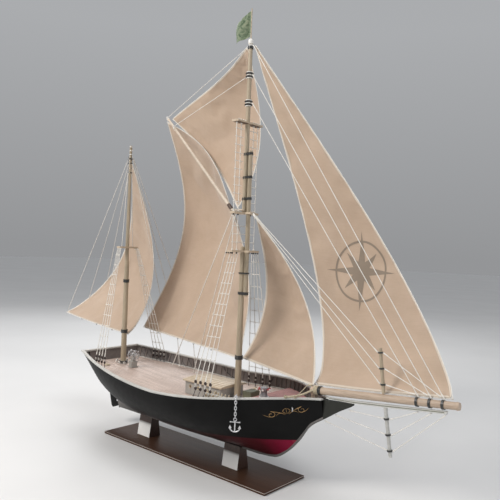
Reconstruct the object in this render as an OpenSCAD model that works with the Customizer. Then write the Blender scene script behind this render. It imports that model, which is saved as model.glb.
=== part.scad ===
// Two-masted model sailing ship on a display stand. Millimetres.
// X points to the bow, Y to port, Z up. The origin is the centre of the stand's underside.

/* [Stand] */
// Length of the stand board
stand_l = 360; // [320:5:400]
// Width of the stand board
stand_w = 91; // [80:1:110]
// Thickness of the stand board
stand_t = 3.6; // [3:0.2:6]
// Fore-and-aft length of each cradle block
cradle_l = 31; // [24:1:40]
// Width of a cradle block where it stands on the board
cradle_foot_w = 24; // [20:1:40]

/* [Hull] */
// Widest half-breadth at the rail
wide_y = 109; // [95:1:115]
// Half-breadth of the transom at the rail
stern_y = 61; // [50:1:70]
// Lowest height of the rail
low_z = 120; // [116:1:126]
// Rise of the rail from its lowest place to the stern
stern_rise = 18; // [12:1:22]
// Rise of the rail from its lowest place to the bow
bow_rise = 16; // [10:1:20]
// Depth from the top of the rail down to the deck
deck_drop = 20; // [16:1:22]
// Height of the paint line between topsides and bottom
waterline_z = 70; // [64:1:72]
// Height of the underside of the keel
keel_z = 34; // [32:1:35]

/* [Masts] */
// Distance of the main mast forward of the centre
main_x = 85; // [80:1:90]
// Distance of the mizzen mast aft of the centre
mizzen_aft = 195; // [190:1:198]
// Diameter of both lower masts
lower_mast_d = 10; // [8:0.5:11]
// Height of the top of the main mast
main_top_z = 632; // [620:1:650]
// Height of the top of the mizzen mast
mizzen_top_z = 488; // [480:1:495]

/* [Rigging] */
// Diameter of the standing rigging thread
rope_d = 1.1; // [0.8:0.1:1.4]
// Diameter of the thin thread of ratlines and lanyards
twine_d = 0.8; // [0.6:0.1:1]
// Thickness of the sailcloth solids
cloth_t = 1.2; // [1:0.1:1.6]

/* [Moving parts] */
// Diameter of each steering wheel over its handles
wheel_d = 19; // [16:1:19]
// Radial running clearance of the wheel axle, the capstan and the rudder
running = 0.06; // [0.04:0.01:0.1]

/* [Hidden] */

$fn = 48;
thread_fn = 16;
slit = 0.05;

dark = [0.07, 0.07, 0.07];
crimson = [0.6, 0.04, 0.12];
deck_wood = [0.82, 0.74, 0.68];
spar_wood = [0.72, 0.62, 0.45];
canvas_tan = [0.78, 0.7, 0.58];
cord_white = [0.9, 0.88, 0.82];
stand_brown = [0.25, 0.15, 0.1];
silver = [0.78, 0.78, 0.78];

// ---- shape of the hull ----
stern_x = -233;
wide_x = 16;
fine_x = 272;
hull_end_x = 240;
keel_half = 2.5;
stern_rake = 0.36;
rake_end_x = -173;
skin = 2.4;
deck_t = 1.6;

// Places along the hull where a cross-section is drawn
stations = [-233, -220, -205, -190, -173, -150, -120, -85, -45, -5, 35, 70, 100, 125,
            145, 165, 180, 199, 206, 213, 221, 228, 234, 240];
// Where the bottom paint runs out at the stem
paint_end = 17;
// Height of the hull's lower edge on the centreline, by place along the hull
hull_foot = [[-233, 52], [-190, 43], [-150, 37.5], [140, 37.5], [162, 40.5], [176, 48], [184, 54],
             [199, waterline_z], [213, 88.5], [218, 95.5], [228, 103], [240, 110.5]];
// Roundness of the sections: 1 is a straight V
hull_fullness = [[-233, 1.25], [-160, 1.8], [-60, 2.6], [80, 2.6], [160, 1.9], [200, 1.4], [240, 1.1]];

function aft_part(x) = (wide_x - x) / (wide_x - stern_x);
function fore_part(x) = (x - wide_x) / (fine_x - wide_x);
function rail_y(x) = x < wide_x
  ? wide_y - (wide_y - stern_y) * pow(aft_part(x), 2)
  : wide_y / 2 * (1 + cos(180 * pow(fore_part(x), 1.5)));
function sheer(x) = x < wide_x
  ? low_z + stern_rise * pow(aft_part(x), 1.5)
  : low_z + bow_rise * sin(90 * pow(fore_part(x), 1.3));
function deck_z(x) = sheer(x) - deck_drop;
function rake(x) = stern_rake * max(0, (rake_end_x - x) / (rake_end_x - stern_x));
function foot_z(x) = lookup(x, hull_foot);
function half(x, z) =
  let (s = min(1, max(0, (z - foot_z(x)) / (sheer(x) - foot_z(x)))))
  keel_half + (rail_y(x) - keel_half) * (1 - pow(1 - s, lookup(x, hull_fullness)));
function shell_x(x, z) = x + rake(x) * (sheer(x) - z);
function transom_x(z) = stern_x + stern_rake * (sheer(stern_x) - z);

// A cross-section from low to high on starboard and back down on port
function section(x, low, high, n) = concat(
  [for (j = [0:n]) let (z = low + (high - low) * j / n) [shell_x(x, z), -half(x, z), z]],
  [for (j = [n:-1:0]) let (z = low + (high - low) * j / n) [shell_x(x, z), half(x, z), z]]
);

// A closed solid through rings that all have the same even number of points. Point j of a
// ring lies across from point n - 1 - j, so the end caps are strips between the two.
module loft(rings) {
  n = len(rings[0]);
  last = len(rings) - 1;
  polyhedron(
    points = [for (r = rings) each r],
    faces = concat(
      [for (j = [0:n / 2 - 2]) [n - 2 - j, j + 1, j]],
      [for (j = [0:n / 2 - 2]) [n - 1 - j, n - 2 - j, j]],
      [for (j = [0:n / 2 - 2]) [last * n + j, last * n + j + 1, last * n + n - 2 - j]],
      [for (j = [0:n / 2 - 2]) [last * n + j, last * n + n - 2 - j, last * n + n - 1 - j]],
      [for (i = [0:last - 1], j = [0:n - 1]) [i * n + j, i * n + (j + 1) % n, (i + 1) * n + (j + 1) % n]],
      [for (i = [0:last - 1], j = [0:n - 1]) [i * n + j, (i + 1) * n + (j + 1) % n, (i + 1) * n + j]]
    )
  );
}

// ---- cords and spars ----
module rod(a, b, r, r2 = -1, sides = thread_fn) {
  d = b - a;
  translate(a)
    rotate([0, acos(d.z / norm(d)), atan2(d.y, d.x)])
      cylinder(h = norm(d), r1 = r, r2 = r2 < 0 ? r : r2, $fn = sides);
}

module rope(a, b) { rod(a, b, rope_d / 2); }

module twine(a, b) { rod(a, b, twine_d / 2); }

module bead(p, d) { translate(p) sphere(d = d, $fn = 20); }

module band(p, inner_r, outer_r, h) {
  translate(p)
    rotate_extrude($fn = 48)
      translate([inner_r, -h / 2]) square([outer_r - inner_r, h]);
}

function mix(a, b, t) = a + (b - a) * t;

// ---- stand ----
cradle_fore_x = 85;
cradle_aft_x = -116;
cradle_top_w = 14;
keel_seat = 3;

module stand_board() {
  color(stand_brown)
    translate([-stand_l / 2, -stand_w / 2, 0]) cube([stand_l, stand_w, stand_t]);
}

// A wedge-shaped block with a slot that the keel sits in
module cradle(x) {
  top = keel_z + keel_seat;
  color("white")
    translate([x - cradle_l / 2, 0, 0])
      rotate([90, 0, 90])
        linear_extrude(cradle_l)
          polygon([[-cradle_foot_w / 2, stand_t], [cradle_foot_w / 2, stand_t],
                   [cradle_top_w / 2, top], [keel_half, top], [keel_half, keel_z],
                   [-keel_half, keel_z], [-keel_half, top], [-cradle_top_w / 2, top]]);
}

module cradle_aft() { cradle(cradle_aft_x); }

module cradle_fore() { cradle(cradle_fore_x); }

// ---- hull ----
stem_line = [[132, keel_z], [162, 37], [184, 51], [202, 70], [218, 92], [240, 107]];
beak_tip = [283, 133.5];
beak_line = [[240, 107], [262, 121.5], [278, 130]];

module plate(points, half_t) {
  rotate([90, 0, 0])
    translate([0, 0, -half_t])
      linear_extrude(2 * half_t) polygon(points);
}

// The strip along the keel and up the stem; its upper edge is the hull's lower edge
module keel_and_stem() {
  upper = [for (x = stations) [shell_x(x, foot_z(x)), foot_z(x)]];
  color([0.45, 0.43, 0.42])
    plate(concat([[transom_x(keel_z), keel_z]], stem_line, [for (i = [len(upper) - 1:-1:0]) upper[i]]),
          keel_half);
}

module hull_bottom() {
  color(crimson)
    loft([for (i = [0:paint_end]) let (x = stations[i])
      section(x, foot_z(x), max(waterline_z, foot_z(x) + (i == paint_end ? 0.01 : 0)), 6)]);
}

module hull_topsides() {
  color(dark)
    loft([for (x = stations) section(x, max(waterline_z, foot_z(x)), deck_z(x) - deck_t, 7)]);
}

// The flat knee that carries the stem line out under the bowsprit
module beak_knee() {
  top = sheer(hull_end_x) - 2.4;
  color([0.16, 0.17, 0.15])
    plate(concat(beak_line, [beak_tip, [beak_tip.x, beak_tip.y + 2.5], [hull_end_x, top],
                             [hull_end_x, foot_z(hull_end_x)]]), 3);
}

// A frame whose Z runs up the face of the transom
module on_transom() {
  translate([transom_x(keel_z), 0, keel_z]) rotate([0, -atan(stern_rake), 0]) children();
}

post_l = 104;
post_t = 3.5;
rudder_axis = -post_t - 2.6;
pin_r = 1.5;
gudgeon_r = 2.5;
gudgeon_h = 3;
gudgeon_at = [12, 38, 64];

module sternpost() {
  color([0.3, 0.28, 0.27])
    on_transom() translate([-post_t, -2.5, 0]) cube([post_t, 5, post_l]);
}

module hawse_rings() {
  color(silver)
    for (side = [-1, 1])
      translate([206, side * (half(206, 118) + 0.1), 118])
        rotate([90, 0, side * 38])
          rotate_extrude($fn = 32) translate([2.6, 0]) circle(r = 0.8, $fn = 16);
}

// ---- decks and bulwarks ----
function deck_ring(x, low, high, gap) =
  let (y = half(x, low) - gap, px = shell_x(x, low) + (x == stern_x ? skin : 0))
  [[px, -y, low], [px, -y, high], [px, y, high], [px, y, low]];

module deck() {
  color(deck_wood)
    loft([for (x = stations) deck_ring(x, deck_z(x) - deck_t, deck_z(x), skin)]);
}

foredeck_at = [118, 125, 145, 165, 180, 199, 206, 213, 221, 228];
foredeck_t = 6;

module foredeck() {
  color([0.66, 0.42, 0.4])
    loft([for (x = foredeck_at) deck_ring(x, deck_z(x), deck_z(x) + foredeck_t, skin + 3.2)]);
}

function wall_ring(x, low, high) =
  [[shell_x(x, low), -half(x, low), low], [shell_x(x, high), -half(x, high), high],
   [shell_x(x, high), -half(x, high) + skin, high], [shell_x(x, low), -half(x, low) + skin, low]];

module bulwark_starboard() {
  color(dark)
    loft([for (x = stations) wall_ring(x, deck_z(x) - deck_t, sheer(x) - skin)]);
}

module bulwark_port() { mirror([0, 1, 0]) bulwark_starboard(); }

module transom() {
  low = deck_z(stern_x) - deck_t;
  high = sheer(stern_x) - skin;
  inner = half(stern_x, low) - skin - slit;
  color(dark)
    loft([for (dx = [0, skin])
      [[transom_x(low) + dx, -inner, low], [transom_x(high) + dx, -inner, high],
       [transom_x(high) + dx, inner, high], [transom_x(low) + dx, inner, low]]]);
}

rail_out = 1;
rail_in = 5;

function rail_ring(x) =
  let (low = sheer(x) - skin, y = rail_y(x), inner = max(1.5, y - rail_in))
  [[x, -y - rail_out, low], [x, -y - rail_out, sheer(x)], [x, -inner, sheer(x)], [x, -inner, low]];

module cap_rail_starboard() {
  color([0.85, 0.83, 0.8]) loft([for (x = stations) rail_ring(x)]);
}

module cap_rail_port() { mirror([0, 1, 0]) cap_rail_starboard(); }

module taffrail() {
  z = sheer(stern_x);
  color([0.85, 0.83, 0.8])
    translate([stern_x - rail_out - 1.5, -stern_y - rail_out, z - skin])
      cube([rail_out + 1.5 - slit, 2 * (stern_y + rail_out), skin]);
  color([0.85, 0.83, 0.8])
    translate([stern_x - slit, -stern_y + rail_in + 0.3, z - skin])
      cube([rail_in, 2 * (stern_y - rail_in - 0.3), skin]);
}

rib_at = [-200, -170, -140, -110, -80, -50, -20, 10, 40, 70, 100, 130, 155, 178];

// Upright stanchions inside the bulwarks
module bulwark_ribs() {
  color([0.5, 0.45, 0.43])
    for (x = rib_at, side = [-1, 1])
      let (y = half(x, deck_z(x)) - skin - 2.2 - abs(rail_y(x + 3) - rail_y(x)),
           lift = 1 + (x > foredeck_at[0] ? foredeck_t : 0))
        translate([x - 1, side * y - 1, deck_z(x) + lift])
          cube([2, 2, deck_drop - skin - 0.4 - lift]);
}

// ---- deck fittings ----
// A block across the deck whose underside follows the deck's line between its stations
module deck_block(x0, x1, w, top) {
  under = concat([x0], [for (x = stations) if (x > x0 && x < x1) x], [x1]);
  rotate([90, 0, 0])
    translate([0, 0, -w / 2])
      linear_extrude(w)
        polygon(concat([for (x = under) [x, deck_z(x) + 0.15]], [[x1, top], [x0, top]]));
}

house_x0 = -2;
house_x1 = 74;
house_w = 50;
house_top = 120;
house_wall = 3;

module deckhouse() {
  color([0.55, 0.53, 0.5])
    difference() {
      deck_block(house_x0, house_x1, house_w, house_top);
      translate([house_x0 + house_wall, -house_w / 2 + house_wall, deck_z(house_x1) + house_wall])
        cube([house_x1 - house_x0 - 2 * house_wall, house_w - 2 * house_wall, house_top]);
    }
}

// A roof that arches a little from side to side
module deckhouse_roof() {
  arch_r = 190;
  rise = 4.5;
  color([0.75, 0.68, 0.55])
    translate([house_x0 - 3, 0, house_top - arch_r + rise + slit])
      rotate([90, 0, 90])
        linear_extrude(house_x1 - house_x0 + 6)
          intersection() {
            circle(r = arch_r, $fn = 360);
            translate([-house_w / 2 - 3, arch_r - rise]) square([house_w + 6, rise + 1]);
          }
}

hatch_x = 92;
hatch_y = 14;

module companion_hatch() {
  color([0.4, 0.42, 0.3]) translate([0, hatch_y, 0]) deck_block(hatch_x, hatch_x + 16, 20, 116);
}

pin_rail_x = 62;
pin_rail_l = 50;
pin_rail_z = 113;

// The pin rail stands on the deck beside the main mast
module pin_rail() {
  color([0.85, 0.82, 0.78]) {
    translate([pin_rail_x, -46, pin_rail_z]) cube([pin_rail_l, 5, 3]);
    for (x = [pin_rail_x + 3, pin_rail_x + pin_rail_l / 2, pin_rail_x + pin_rail_l - 6])
      translate([x, -45, deck_z(x + 3) + 0.2]) cube([3, 3, pin_rail_z - deck_z(x + 3) - 0.2]);
    for (i = [0:6])
      translate([pin_rail_x + 4 + 7 * i, -43.5, pin_rail_z + 3]) cylinder(r = 0.8, h = 4.5, $fn = 16);
  }
}

wheel_x = -166;
wheel_z = 133;
wheel_gap = 11;
axle_r = 1.4;

module wheel_pedestal() {
  base = deck_z(wheel_x) + 0.6;
  color([0.4, 0.42, 0.36])
    difference() {
      union() {
        translate([wheel_x - 4, -6, base]) cube([8, 12, 10]);
        translate([wheel_x - 3, -3, base + 10]) cube([6, 6, wheel_z + 3 - base - 10]);
      }
      translate([wheel_x - 10, 0, wheel_z]) rotate([0, 90, 0]) cylinder(r = axle_r + running, h = 20);
    }
}

// One ship's wheel: rim, hub and eight spokes that end in handles
module ship_wheel() {
  rim_r = wheel_d / 2 - 1.6;
  rotate([0, 90, 0]) {
    translate([0, 0, -0.8])
      difference() {
        cylinder(r = rim_r, h = 1.6);
        translate([0, 0, -1]) cylinder(r = rim_r - 1.2, h = 4);
      }
    translate([0, 0, -1.4]) cylinder(r = 2.4, h = 2.8);
  }
  for (a = [0:45:315])
    rotate([a, 0, 0]) cylinder(r = 0.5, h = wheel_d / 2, $fn = 16);
}

module steering_wheels() {
  color(silver)
    translate([wheel_x, 0, wheel_z]) {
      for (side = [-1, 1]) translate([side * wheel_gap / 2, 0, 0]) ship_wheel();
      translate([-wheel_gap / 2 - 2, 0, 0]) rotate([0, 90, 0]) cylinder(r = axle_r, h = wheel_gap + 4);
    }
}

module rudder_gudgeons() {
  color(silver)
    on_transom()
      for (z = gudgeon_at)
        translate([0, 0, z])
          difference() {
            union() {
              translate([rudder_axis, 0, 0]) cylinder(r = gudgeon_r, h = gudgeon_h);
              translate([rudder_axis, -1.2, 0]) cube([-post_t - rudder_axis - slit, 2.4, gudgeon_h]);
            }
            translate([rudder_axis, 0, -1]) cylinder(r = pin_r + running, h = gudgeon_h + 2);
          }
}

// The blade hangs on a long pin through the gudgeons
module rudder() {
  notch = gudgeon_h + 1;
  color(dark)
    on_transom()
      difference() {
        union() {
          translate([rudder_axis, 0, 4]) cylinder(r = pin_r, h = 72);
          translate([rudder_axis, 1.4, 4])
            rotate([90, 0, 0])
              linear_extrude(2.8)
                polygon([[0, 0], [0, 66], [-6, 66], [-11, 50], [-19, 26], [-20, 4], [-17, 0]]);
        }
        for (z = gudgeon_at)
          translate([rudder_axis, 0, z - 0.5])
            difference() {
              translate([-4, -4, 0]) cube([8, 8, notch]);
              translate([0, 0, -1]) cylinder(r = pin_r, h = notch + 2);
            }
      }
}

capstan_x = 136;
capstan_base = deck_z(capstan_x) + foredeck_t + 0.5;

module capstan_spindle() {
  color("dimgray") {
    translate([capstan_x, 0, capstan_base]) cylinder(r = 7, h = 1.4);
    translate([capstan_x, 0, capstan_base + 1.4]) cylinder(r = 1.6, h = 9);
  }
}

bar_z = capstan_base + 12.6;

module capstan() {
  color([0.5, 0.5, 0.5])
    translate([capstan_x, 0, capstan_base + 1.7])
      difference() {
        rotate_extrude($fn = 48)
          polygon([[0, 0], [5.6, 0], [5.6, 1.4], [4, 3], [3.6, 6], [4.2, 9], [5.4, 9.6],
                   [5.4, 12.6], [4.4, 13.6], [0, 13.6]]);
        translate([0, 0, -1]) cylinder(r = 1.6 + running, h = 10);
        for (a = [0:60:300])
          rotate([0, 0, a]) translate([3.4, 0, bar_z - capstan_base - 1.7])
            rotate([0, 90, 0]) cylinder(r = 0.85, h = 5, $fn = 16);
      }
}

module capstan_bars() {
  color([0.75, 0.1, 0.15])
    for (a = [0:60:300])
      translate([capstan_x, 0, bar_z]) rotate([0, 0, a]) {
        translate([3.5, 0, 0]) rotate([0, 90, 0]) cylinder(r = 0.8, h = 7.5, $fn = 16);
        translate([11, 0, 0]) sphere(r = 1.1, $fn = 20);
      }
}

// ---- anchor ----
// The chain hangs just outside the starboard rail, square to the hull's side there
chain_x = 150;
chain_turn = 33;
chain_out = 4.4;
eye_z = 132.2;
eye_r = 1.9;
wire = 0.5;
link_end_r = 1.3;
link_straight = 2.26;
link_count = 7;
link_pitch = 2 * link_end_r + link_straight - 2 * wire - slit;
eye_wire_z = eye_z - eye_r;
first_link_z = eye_wire_z + 2 * wire + slit - link_end_r - link_straight / 2;
anchor_ring_r = 2;
last_wire_z = first_link_z - (link_count - 1) * link_pitch - link_end_r - link_straight / 2;
anchor_ring_z = last_wire_z + 2 * wire + slit - anchor_ring_r;

// A frame on the chain's line: X along the hull's side, Y towards the hull
module on_chain(z) {
  translate([chain_x + chain_out * sin(chain_turn), -rail_y(chain_x) - chain_out * cos(chain_turn), z])
    rotate([0, 0, chain_turn]) children();
}

module ring(r, w) { rotate_extrude($fn = 32) translate([r, 0]) circle(r = w, $fn = 16); }

// A stadium-shaped link standing upright in the plane across X
module chain_link() {
  for (up = [0, 180])
    rotate([up, 0, 0])
      translate([0, 0, link_straight / 2])
        rotate([0, -90, 0]) rotate([0, 0, -90])
          rotate_extrude(angle = 180, $fn = 32) translate([link_end_r, 0]) circle(r = wire, $fn = 16);
  for (side = [-1, 1])
    translate([0, side * link_end_r, -link_straight / 2]) cylinder(r = wire, h = link_straight, $fn = 16);
}

module chain_eyebolt() {
  color(silver)
    on_chain(eye_z) {
      rotate([90, 0, 0]) ring(eye_r, wire);
      rod([0, 0, eye_r], [0, chain_out + 1, eye_r], 0.6);
      translate([0, chain_out + 1, sheer(chain_x) - eye_z + 0.15])
        cylinder(r = 0.9, h = eye_z + eye_r - sheer(chain_x) + 0.6, $fn = 24);
    }
}

module anchor_chain() {
  color(silver)
    for (i = [0:link_count - 1])
      on_chain(first_link_z - i * link_pitch) rotate([0, 0, 90 * (i % 2)]) chain_link();
}

shank_l = 14.2;
stock_half = 6.2;
stock_z = -3.4;
arm_r = 7;

module anchor() {
  color(silver)
    on_chain(anchor_ring_z) {
      rotate([90, 0, 0]) ring(anchor_ring_r, wire);
      rod([0, 0, -anchor_ring_r], [0, 0, -anchor_ring_r - shank_l], 0.85);
      rod([-stock_half, 0, stock_z], [stock_half, 0, stock_z], 0.65);
      for (side = [-1, 1]) bead([side * stock_half, 0, stock_z], 2);
      intersection() {
        translate([0, 0, arm_r - anchor_ring_r - shank_l]) rotate([90, 0, 0]) ring(arm_r, 0.9);
        translate([-12, -3, -anchor_ring_r - shank_l - 3]) cube([24, 6, arm_r + 1.4]);
      }
      for (side = [-1, 1])
        translate([side * arm_r, 0.7, -anchor_ring_r - shank_l + arm_r - 1.6])
          rotate([90, 0, 0])
            linear_extrude(1.4) polygon([[-side * 2.8, -0.8], [side * 1.4, -1], [-side * 0.4, 3.4]]);
    }
}

// ---- masts and spars ----
mizzen_x = -mizzen_aft;
top_z = 323;
trestle_z = 380;
cap_z = 403;
upper_z = 515;
topmast_x = main_x + 8;

module main_lower_mast() {
  color(spar_wood)
    translate([main_x, 0, deck_z(main_x) + 0.8])
      cylinder(d1 = lower_mast_d, d2 = 8, h = top_z + 8 - deck_z(main_x));
}

module main_topmast() {
  color(spar_wood)
    translate([topmast_x, 0, 258]) cylinder(d1 = 7, d2 = 6, h = 475 - 258);
}

// The highest pole stands behind the topmast
module main_topgallant_mast() {
  color(spar_wood) {
    translate([main_x, 0, trestle_z + 3.2]) cylinder(d1 = 7.4, d2 = 6.4, h = main_top_z - trestle_z - 3.2);
    translate([main_x, 0, main_top_z])
      rotate_extrude($fn = 48)
        polygon([[0, 0], [2.5, 0], [2.5, 2], [3.7, 3], [3.7, 8.6], [2.6, 10.6], [0, 10.6]]);
  }
}

// A board across the masts with holes that the masts pass through
module crosstree(z, arm, w, holes) {
  color([0.75, 0.68, 0.58])
    difference() {
      union() {
        translate([main_x - w / 2, -arm, z]) cube([w, 2 * arm, 3]);
        translate([main_x - 8, -5, z]) cube([24, 10, 3]);
      }
      for (h = holes) translate([h[0], h[1], z - 1]) cylinder(r = h[2], h = 5, $fn = 32);
    }
}

topmast_hole = 3.6;
topmast_shroud_y = [-24, -14, 14, 24];
shroud_hole = 0.65;

module main_tops() {
  crosstree(top_z, 30, 12, [[main_x, 0, 4.3], [topmast_x, 0, topmast_hole]]);
  crosstree(trestle_z, 27, 10,
            concat([[topmast_x, 0, topmast_hole]], [for (y = topmast_shroud_y) [main_x, y, shroud_hole]]));
  color([0.6, 0.5, 0.4])
    difference() {
      translate([main_x - 6, -28, upper_z]) cube([12, 56, 2.4]);
      translate([main_x, 0, upper_z - 1]) cylinder(r = 3.6, h = 5);
    }
}

module collar(x, z, r, h) { band([x, 0, z], r + 0.03, r + 1, h); }

// A band around the lower mast and the topmast where they stand side by side
module double_band(z, h) {
  translate([0, 0, z])
    difference() {
      union() {
        translate([main_x, 0, 0]) cylinder(r = 5.4, h = h);
        translate([topmast_x, 0, 0]) cylinder(r = 4.7, h = h);
        translate([main_x, -4.5, 0]) cube([topmast_x - main_x, 9, h]);
      }
      translate([main_x, 0, -1]) cylinder(r = 4.5, h = h + 2);
      translate([topmast_x, 0, -1]) cylinder(r = topmast_hole + 0.15, h = h + 2);
    }
}

module main_bands() {
  color(dark) {
    collar(main_x, 166, 4.9, 6);
    double_band(260, 4);
    double_band(291, 2);
    collar(topmast_x, cap_z, 3.25, 3);
    collar(topmast_x, 435, 3.2, 2);
    collar(topmast_x, 470, 3.1, 2);
    for (z = [544, 549, 586, 591]) collar(main_x, z, 3.45, 2);
    collar(main_x, main_top_z - 2.2, 3.25, 4);
  }
}

module flagstaff() {
  color(spar_wood)
    translate([main_x, 0, main_top_z + 10.8]) cylinder(r = 0.8, h = 46, $fn = 16);
}

module flag() {
  color([0.6, 0.72, 0.6])
    loft([for (i = [0:8])
      let (t = i / 8, x = main_x - 1.2 - 30 * t, y = 4 * sin(400 * t), low = 650 - 6 * t, high = 686 - 14 * t)
      [[x, y + 0.4, low], [x, y - 0.4, low], [x, y - 0.4, high], [x, y + 0.4, high]]]);
}

module mizzen_lower_mast() {
  color(spar_wood)
    translate([mizzen_x, 0, deck_z(mizzen_x) + 0.8])
      cylinder(d1 = lower_mast_d, d2 = 8, h = 298 - deck_z(mizzen_x));
}

mizzen_topmast_x = mizzen_x - 1;

module mizzen_topmast() {
  color(spar_wood) {
    translate([mizzen_topmast_x, 0, 299]) cylinder(d1 = 7, d2 = 5, h = mizzen_top_z - 299);
    for (a = [45:90:315])
      translate([mizzen_topmast_x, 0, mizzen_top_z]) rotate([0, 0, a]) translate([1.6, 0, 0])
        cylinder(r = 0.7, h = 20, $fn = 16);
  }
}

module mizzen_top() {
  color([0.75, 0.68, 0.58])
    difference() {
      translate([mizzen_x - 5, -20, 322]) cube([10, 40, 3]);
      translate([mizzen_topmast_x, 0, 320]) cylinder(r = 3.7, h = 8);
    }
}

// Collars on the mast and the ring of eyes around its foot
module mizzen_bands() {
  color(dark) {
    collar(mizzen_x, 172, 4.8, 6);
    collar(mizzen_x, 263, 4.4, 4);
    for (z = [459, 476, 484]) collar(mizzen_topmast_x, z, 2.8, 1.6);
  }
  color([0.8, 0.76, 0.7])
    band([mizzen_x, 0, deck_z(mizzen_x) + 3.4], 5.1, 8, 2);
}

gaff_foot = [60, 0, 387.5];
gaff_tip = [-147, 41, 561];

module gaff() {
  color(spar_wood) {
    rod(gaff_foot, gaff_tip, 2.6, 1.8, 32);
    for (side = [-1, 1]) rod(gaff_foot + [0, side * 1.2, 0], [main_x + 4, side * 6, 386.2], 1.2);
  }
}

sprit_heel = [219, 0, 142];
sprit_end = [416, 0, 160];
sprit_r = 5;

module bowsprit() {
  color(spar_wood) {
    rod(sprit_heel, sprit_end, sprit_r, 4.5, 48);
    rod(sprit_end, sprit_end + [3, 0, 0.3], 5, 4.4, 48);
    translate([sprit_heel.x + 1, -3, deck_z(225) + foredeck_t + 0.1]) cube([6, 6, 20]);
  }
}

module under_spar() {
  color([0.85, 0.84, 0.82])
    rotate([90, 0, 0])
      translate([0, 0, -2])
        linear_extrude(4) polygon([[243, 135.2], [283, 136.6], [327, 140.6], [405, 148.8], [405, 152],
                                   [327, 144.4], [283, 140], [243, 137]]);
}

striker_top = [328, 0, 140.5];
striker_end = [337, 0, 82];

module dolphin_striker() {
  color([0.85, 0.84, 0.82]) rod(striker_top, striker_end, 2.4, 2.2, 32);
}

strut_foot = [325, 0, 157];
strut_top = [318, 0, 212];

module sprit_strut() {
  color([0.6, 0.56, 0.5]) rod(strut_foot, strut_top, 2.3, 2.1, 32);
}

// Thin bands around the bowsprit, the striker and the strut
module ring_on(a, b, t, r, h) {
  d = b - a;
  translate(mix(a, b, t))
    rotate([0, acos(d.z / norm(d)), atan2(d.y, d.x)])
      rotate_extrude($fn = 48) translate([r, -h / 2]) square([0.9, h]);
}

module spar_bands() {
  color(dark) {
    for (t = [0.76, 0.84, 0.92]) ring_on(sprit_heel, sprit_end, t, 4.75, 3);
    ring_on(sprit_heel, sprit_end, 0.07, 5.05, 4);
    for (t = [0.23, 0.55, 0.87]) ring_on(striker_top, striker_end, t, 2.45, 2);
    for (t = [0.2, 0.55, 0.9]) ring_on(strut_foot, strut_top, t, 2.35, 2);
  }
}

// ---- sails ----
// Corners are tack, clew, fore head and aft head. The bows are: luff to port, leech to port,
// foot to port, head to port, foot upwards, head upwards and the belly. The skews move the
// fullest place down the luff and the leech.
function sail_point(c, b, skew, u, v) =
  let (k = mix(skew[0], skew[1], u), sv = sin(180 * pow(v, k)), su = sin(180 * u))
  mix(mix(c[0], c[1], u), mix(c[2], c[3], u), v)
  + [0, mix(b[0], b[1], u) * sv + mix(b[2], b[3], v) * su + b[6] * su * sv, mix(b[4], b[5], v) * su];

module sail(c, b, skew, across, up) {
  color(canvas_tan)
    loft([for (j = [0:up]) let (v = j / up) concat(
      [for (i = [0:across]) sail_point(c, b, skew, i / across, v)],
      [for (i = [across:-1:0]) sail_point(c, b, skew, i / across, v) + [0, cloth_t, 0]])]);
}

mizzen_corners = [[-192, 6, 166], [-422, 20, 183], [-198, 6, 474], [-201, 6, 476]];
mizzen_bows = [55, 75, 4, 0, -3, 0, 6];
mizzen_skew = [0.76, 0.76];

module mizzen_sail() { sail(mizzen_corners, mizzen_bows, mizzen_skew, 8, 12); }

main_corners = [[79, 8, 162], [-228, 70, 170], [50, 8, 388], [-152, 45, 555]];
main_bows = [32, 71, 11, 23, -3, 21, 14];
main_skew = [1.07, 1.04];

module main_sail() { sail(main_corners, main_bows, main_skew, 10, 12); }

module topsail() {
  sail([[57, 15, 391], [-146, 52, 561], [74, 7, 632], [70, 7, 635]],
       [42, 11, 22, 0, 3, 0, 10], [0.9, 1.4], 10, 10);
}

module staysail() {
  sail([[219, 2, 147], [81, 12, 163], [103, 8, 377], [100, 8, 379]],
       [48, 42, 0, 0, 0, 0, 8], [0.88, 0.82], 8, 12);
}

module jib() {
  sail([[409, 3, 166], [216, 10, 147], [92, 4, 632], [89, 4, 634]],
       [50, 50, -2, 0, -1, 0, 10], [0.66, 0.59], 8, 14);
}

// ---- standing rigging ----
main_stbd_feet = [for (i = [0:3]) [92.5 + 7.4 * i, -95 + 2 * i, 147.2 - 0.5 * i]];
main_stbd_heads = [for (i = [0:3]) [79.8 + 3.4 * i, -22 + 1.8 * i, top_z - 0.8]];
main_port_feet = [for (i = [0:3]) [30 + 15 * i, 89, 118]];
main_port_heads = [for (i = [0:3]) [78 + 4 * i, 28.5, top_z - 0.8]];

// Shrouds with ratlines tied across their outer side
module ladder(feet, heads, rungs, side) {
  for (i = [0:len(feet) - 1]) rope(feet[i], heads[i]);
  last = len(feet) - 1;
  away = [0, side * (rope_d + twine_d) * 0.4, 0];
  over = [1.2, 0, 0];
  for (t = rungs)
    twine(mix(feet[0], heads[0], t) + away - over, mix(feet[last], heads[last], t) + away + over);
}

module main_shrouds() {
  color(cord_white) {
    ladder(main_stbd_feet, main_stbd_heads, [for (i = [0:9]) 0.16 + 0.084 * i], -1);
    ladder(main_port_feet, main_port_heads, [for (i = [0:9]) 0.08 + 0.095 * i], 1);
  }
}

module topmast_shrouds() {
  color(cord_white)
    for (y = topmast_shroud_y) rope([main_x, y, top_z + 3 + slit], [main_x, y, upper_z - slit]);
  color(cord_white)
    for (i = [1:3]) let (z = top_z + 3 + 12 * i) twine([main_x - 0.8, -25.5, z], [main_x - 0.8, 25.5, z]);
  color(cord_white)
    for (side = [-1, 1], i = [5:15]) let (z = top_z + 3 + 12 * i)
      twine([main_x - 0.8, side * 7.6, z], [main_x - 0.8, side * 25.5, z]);
}

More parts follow.
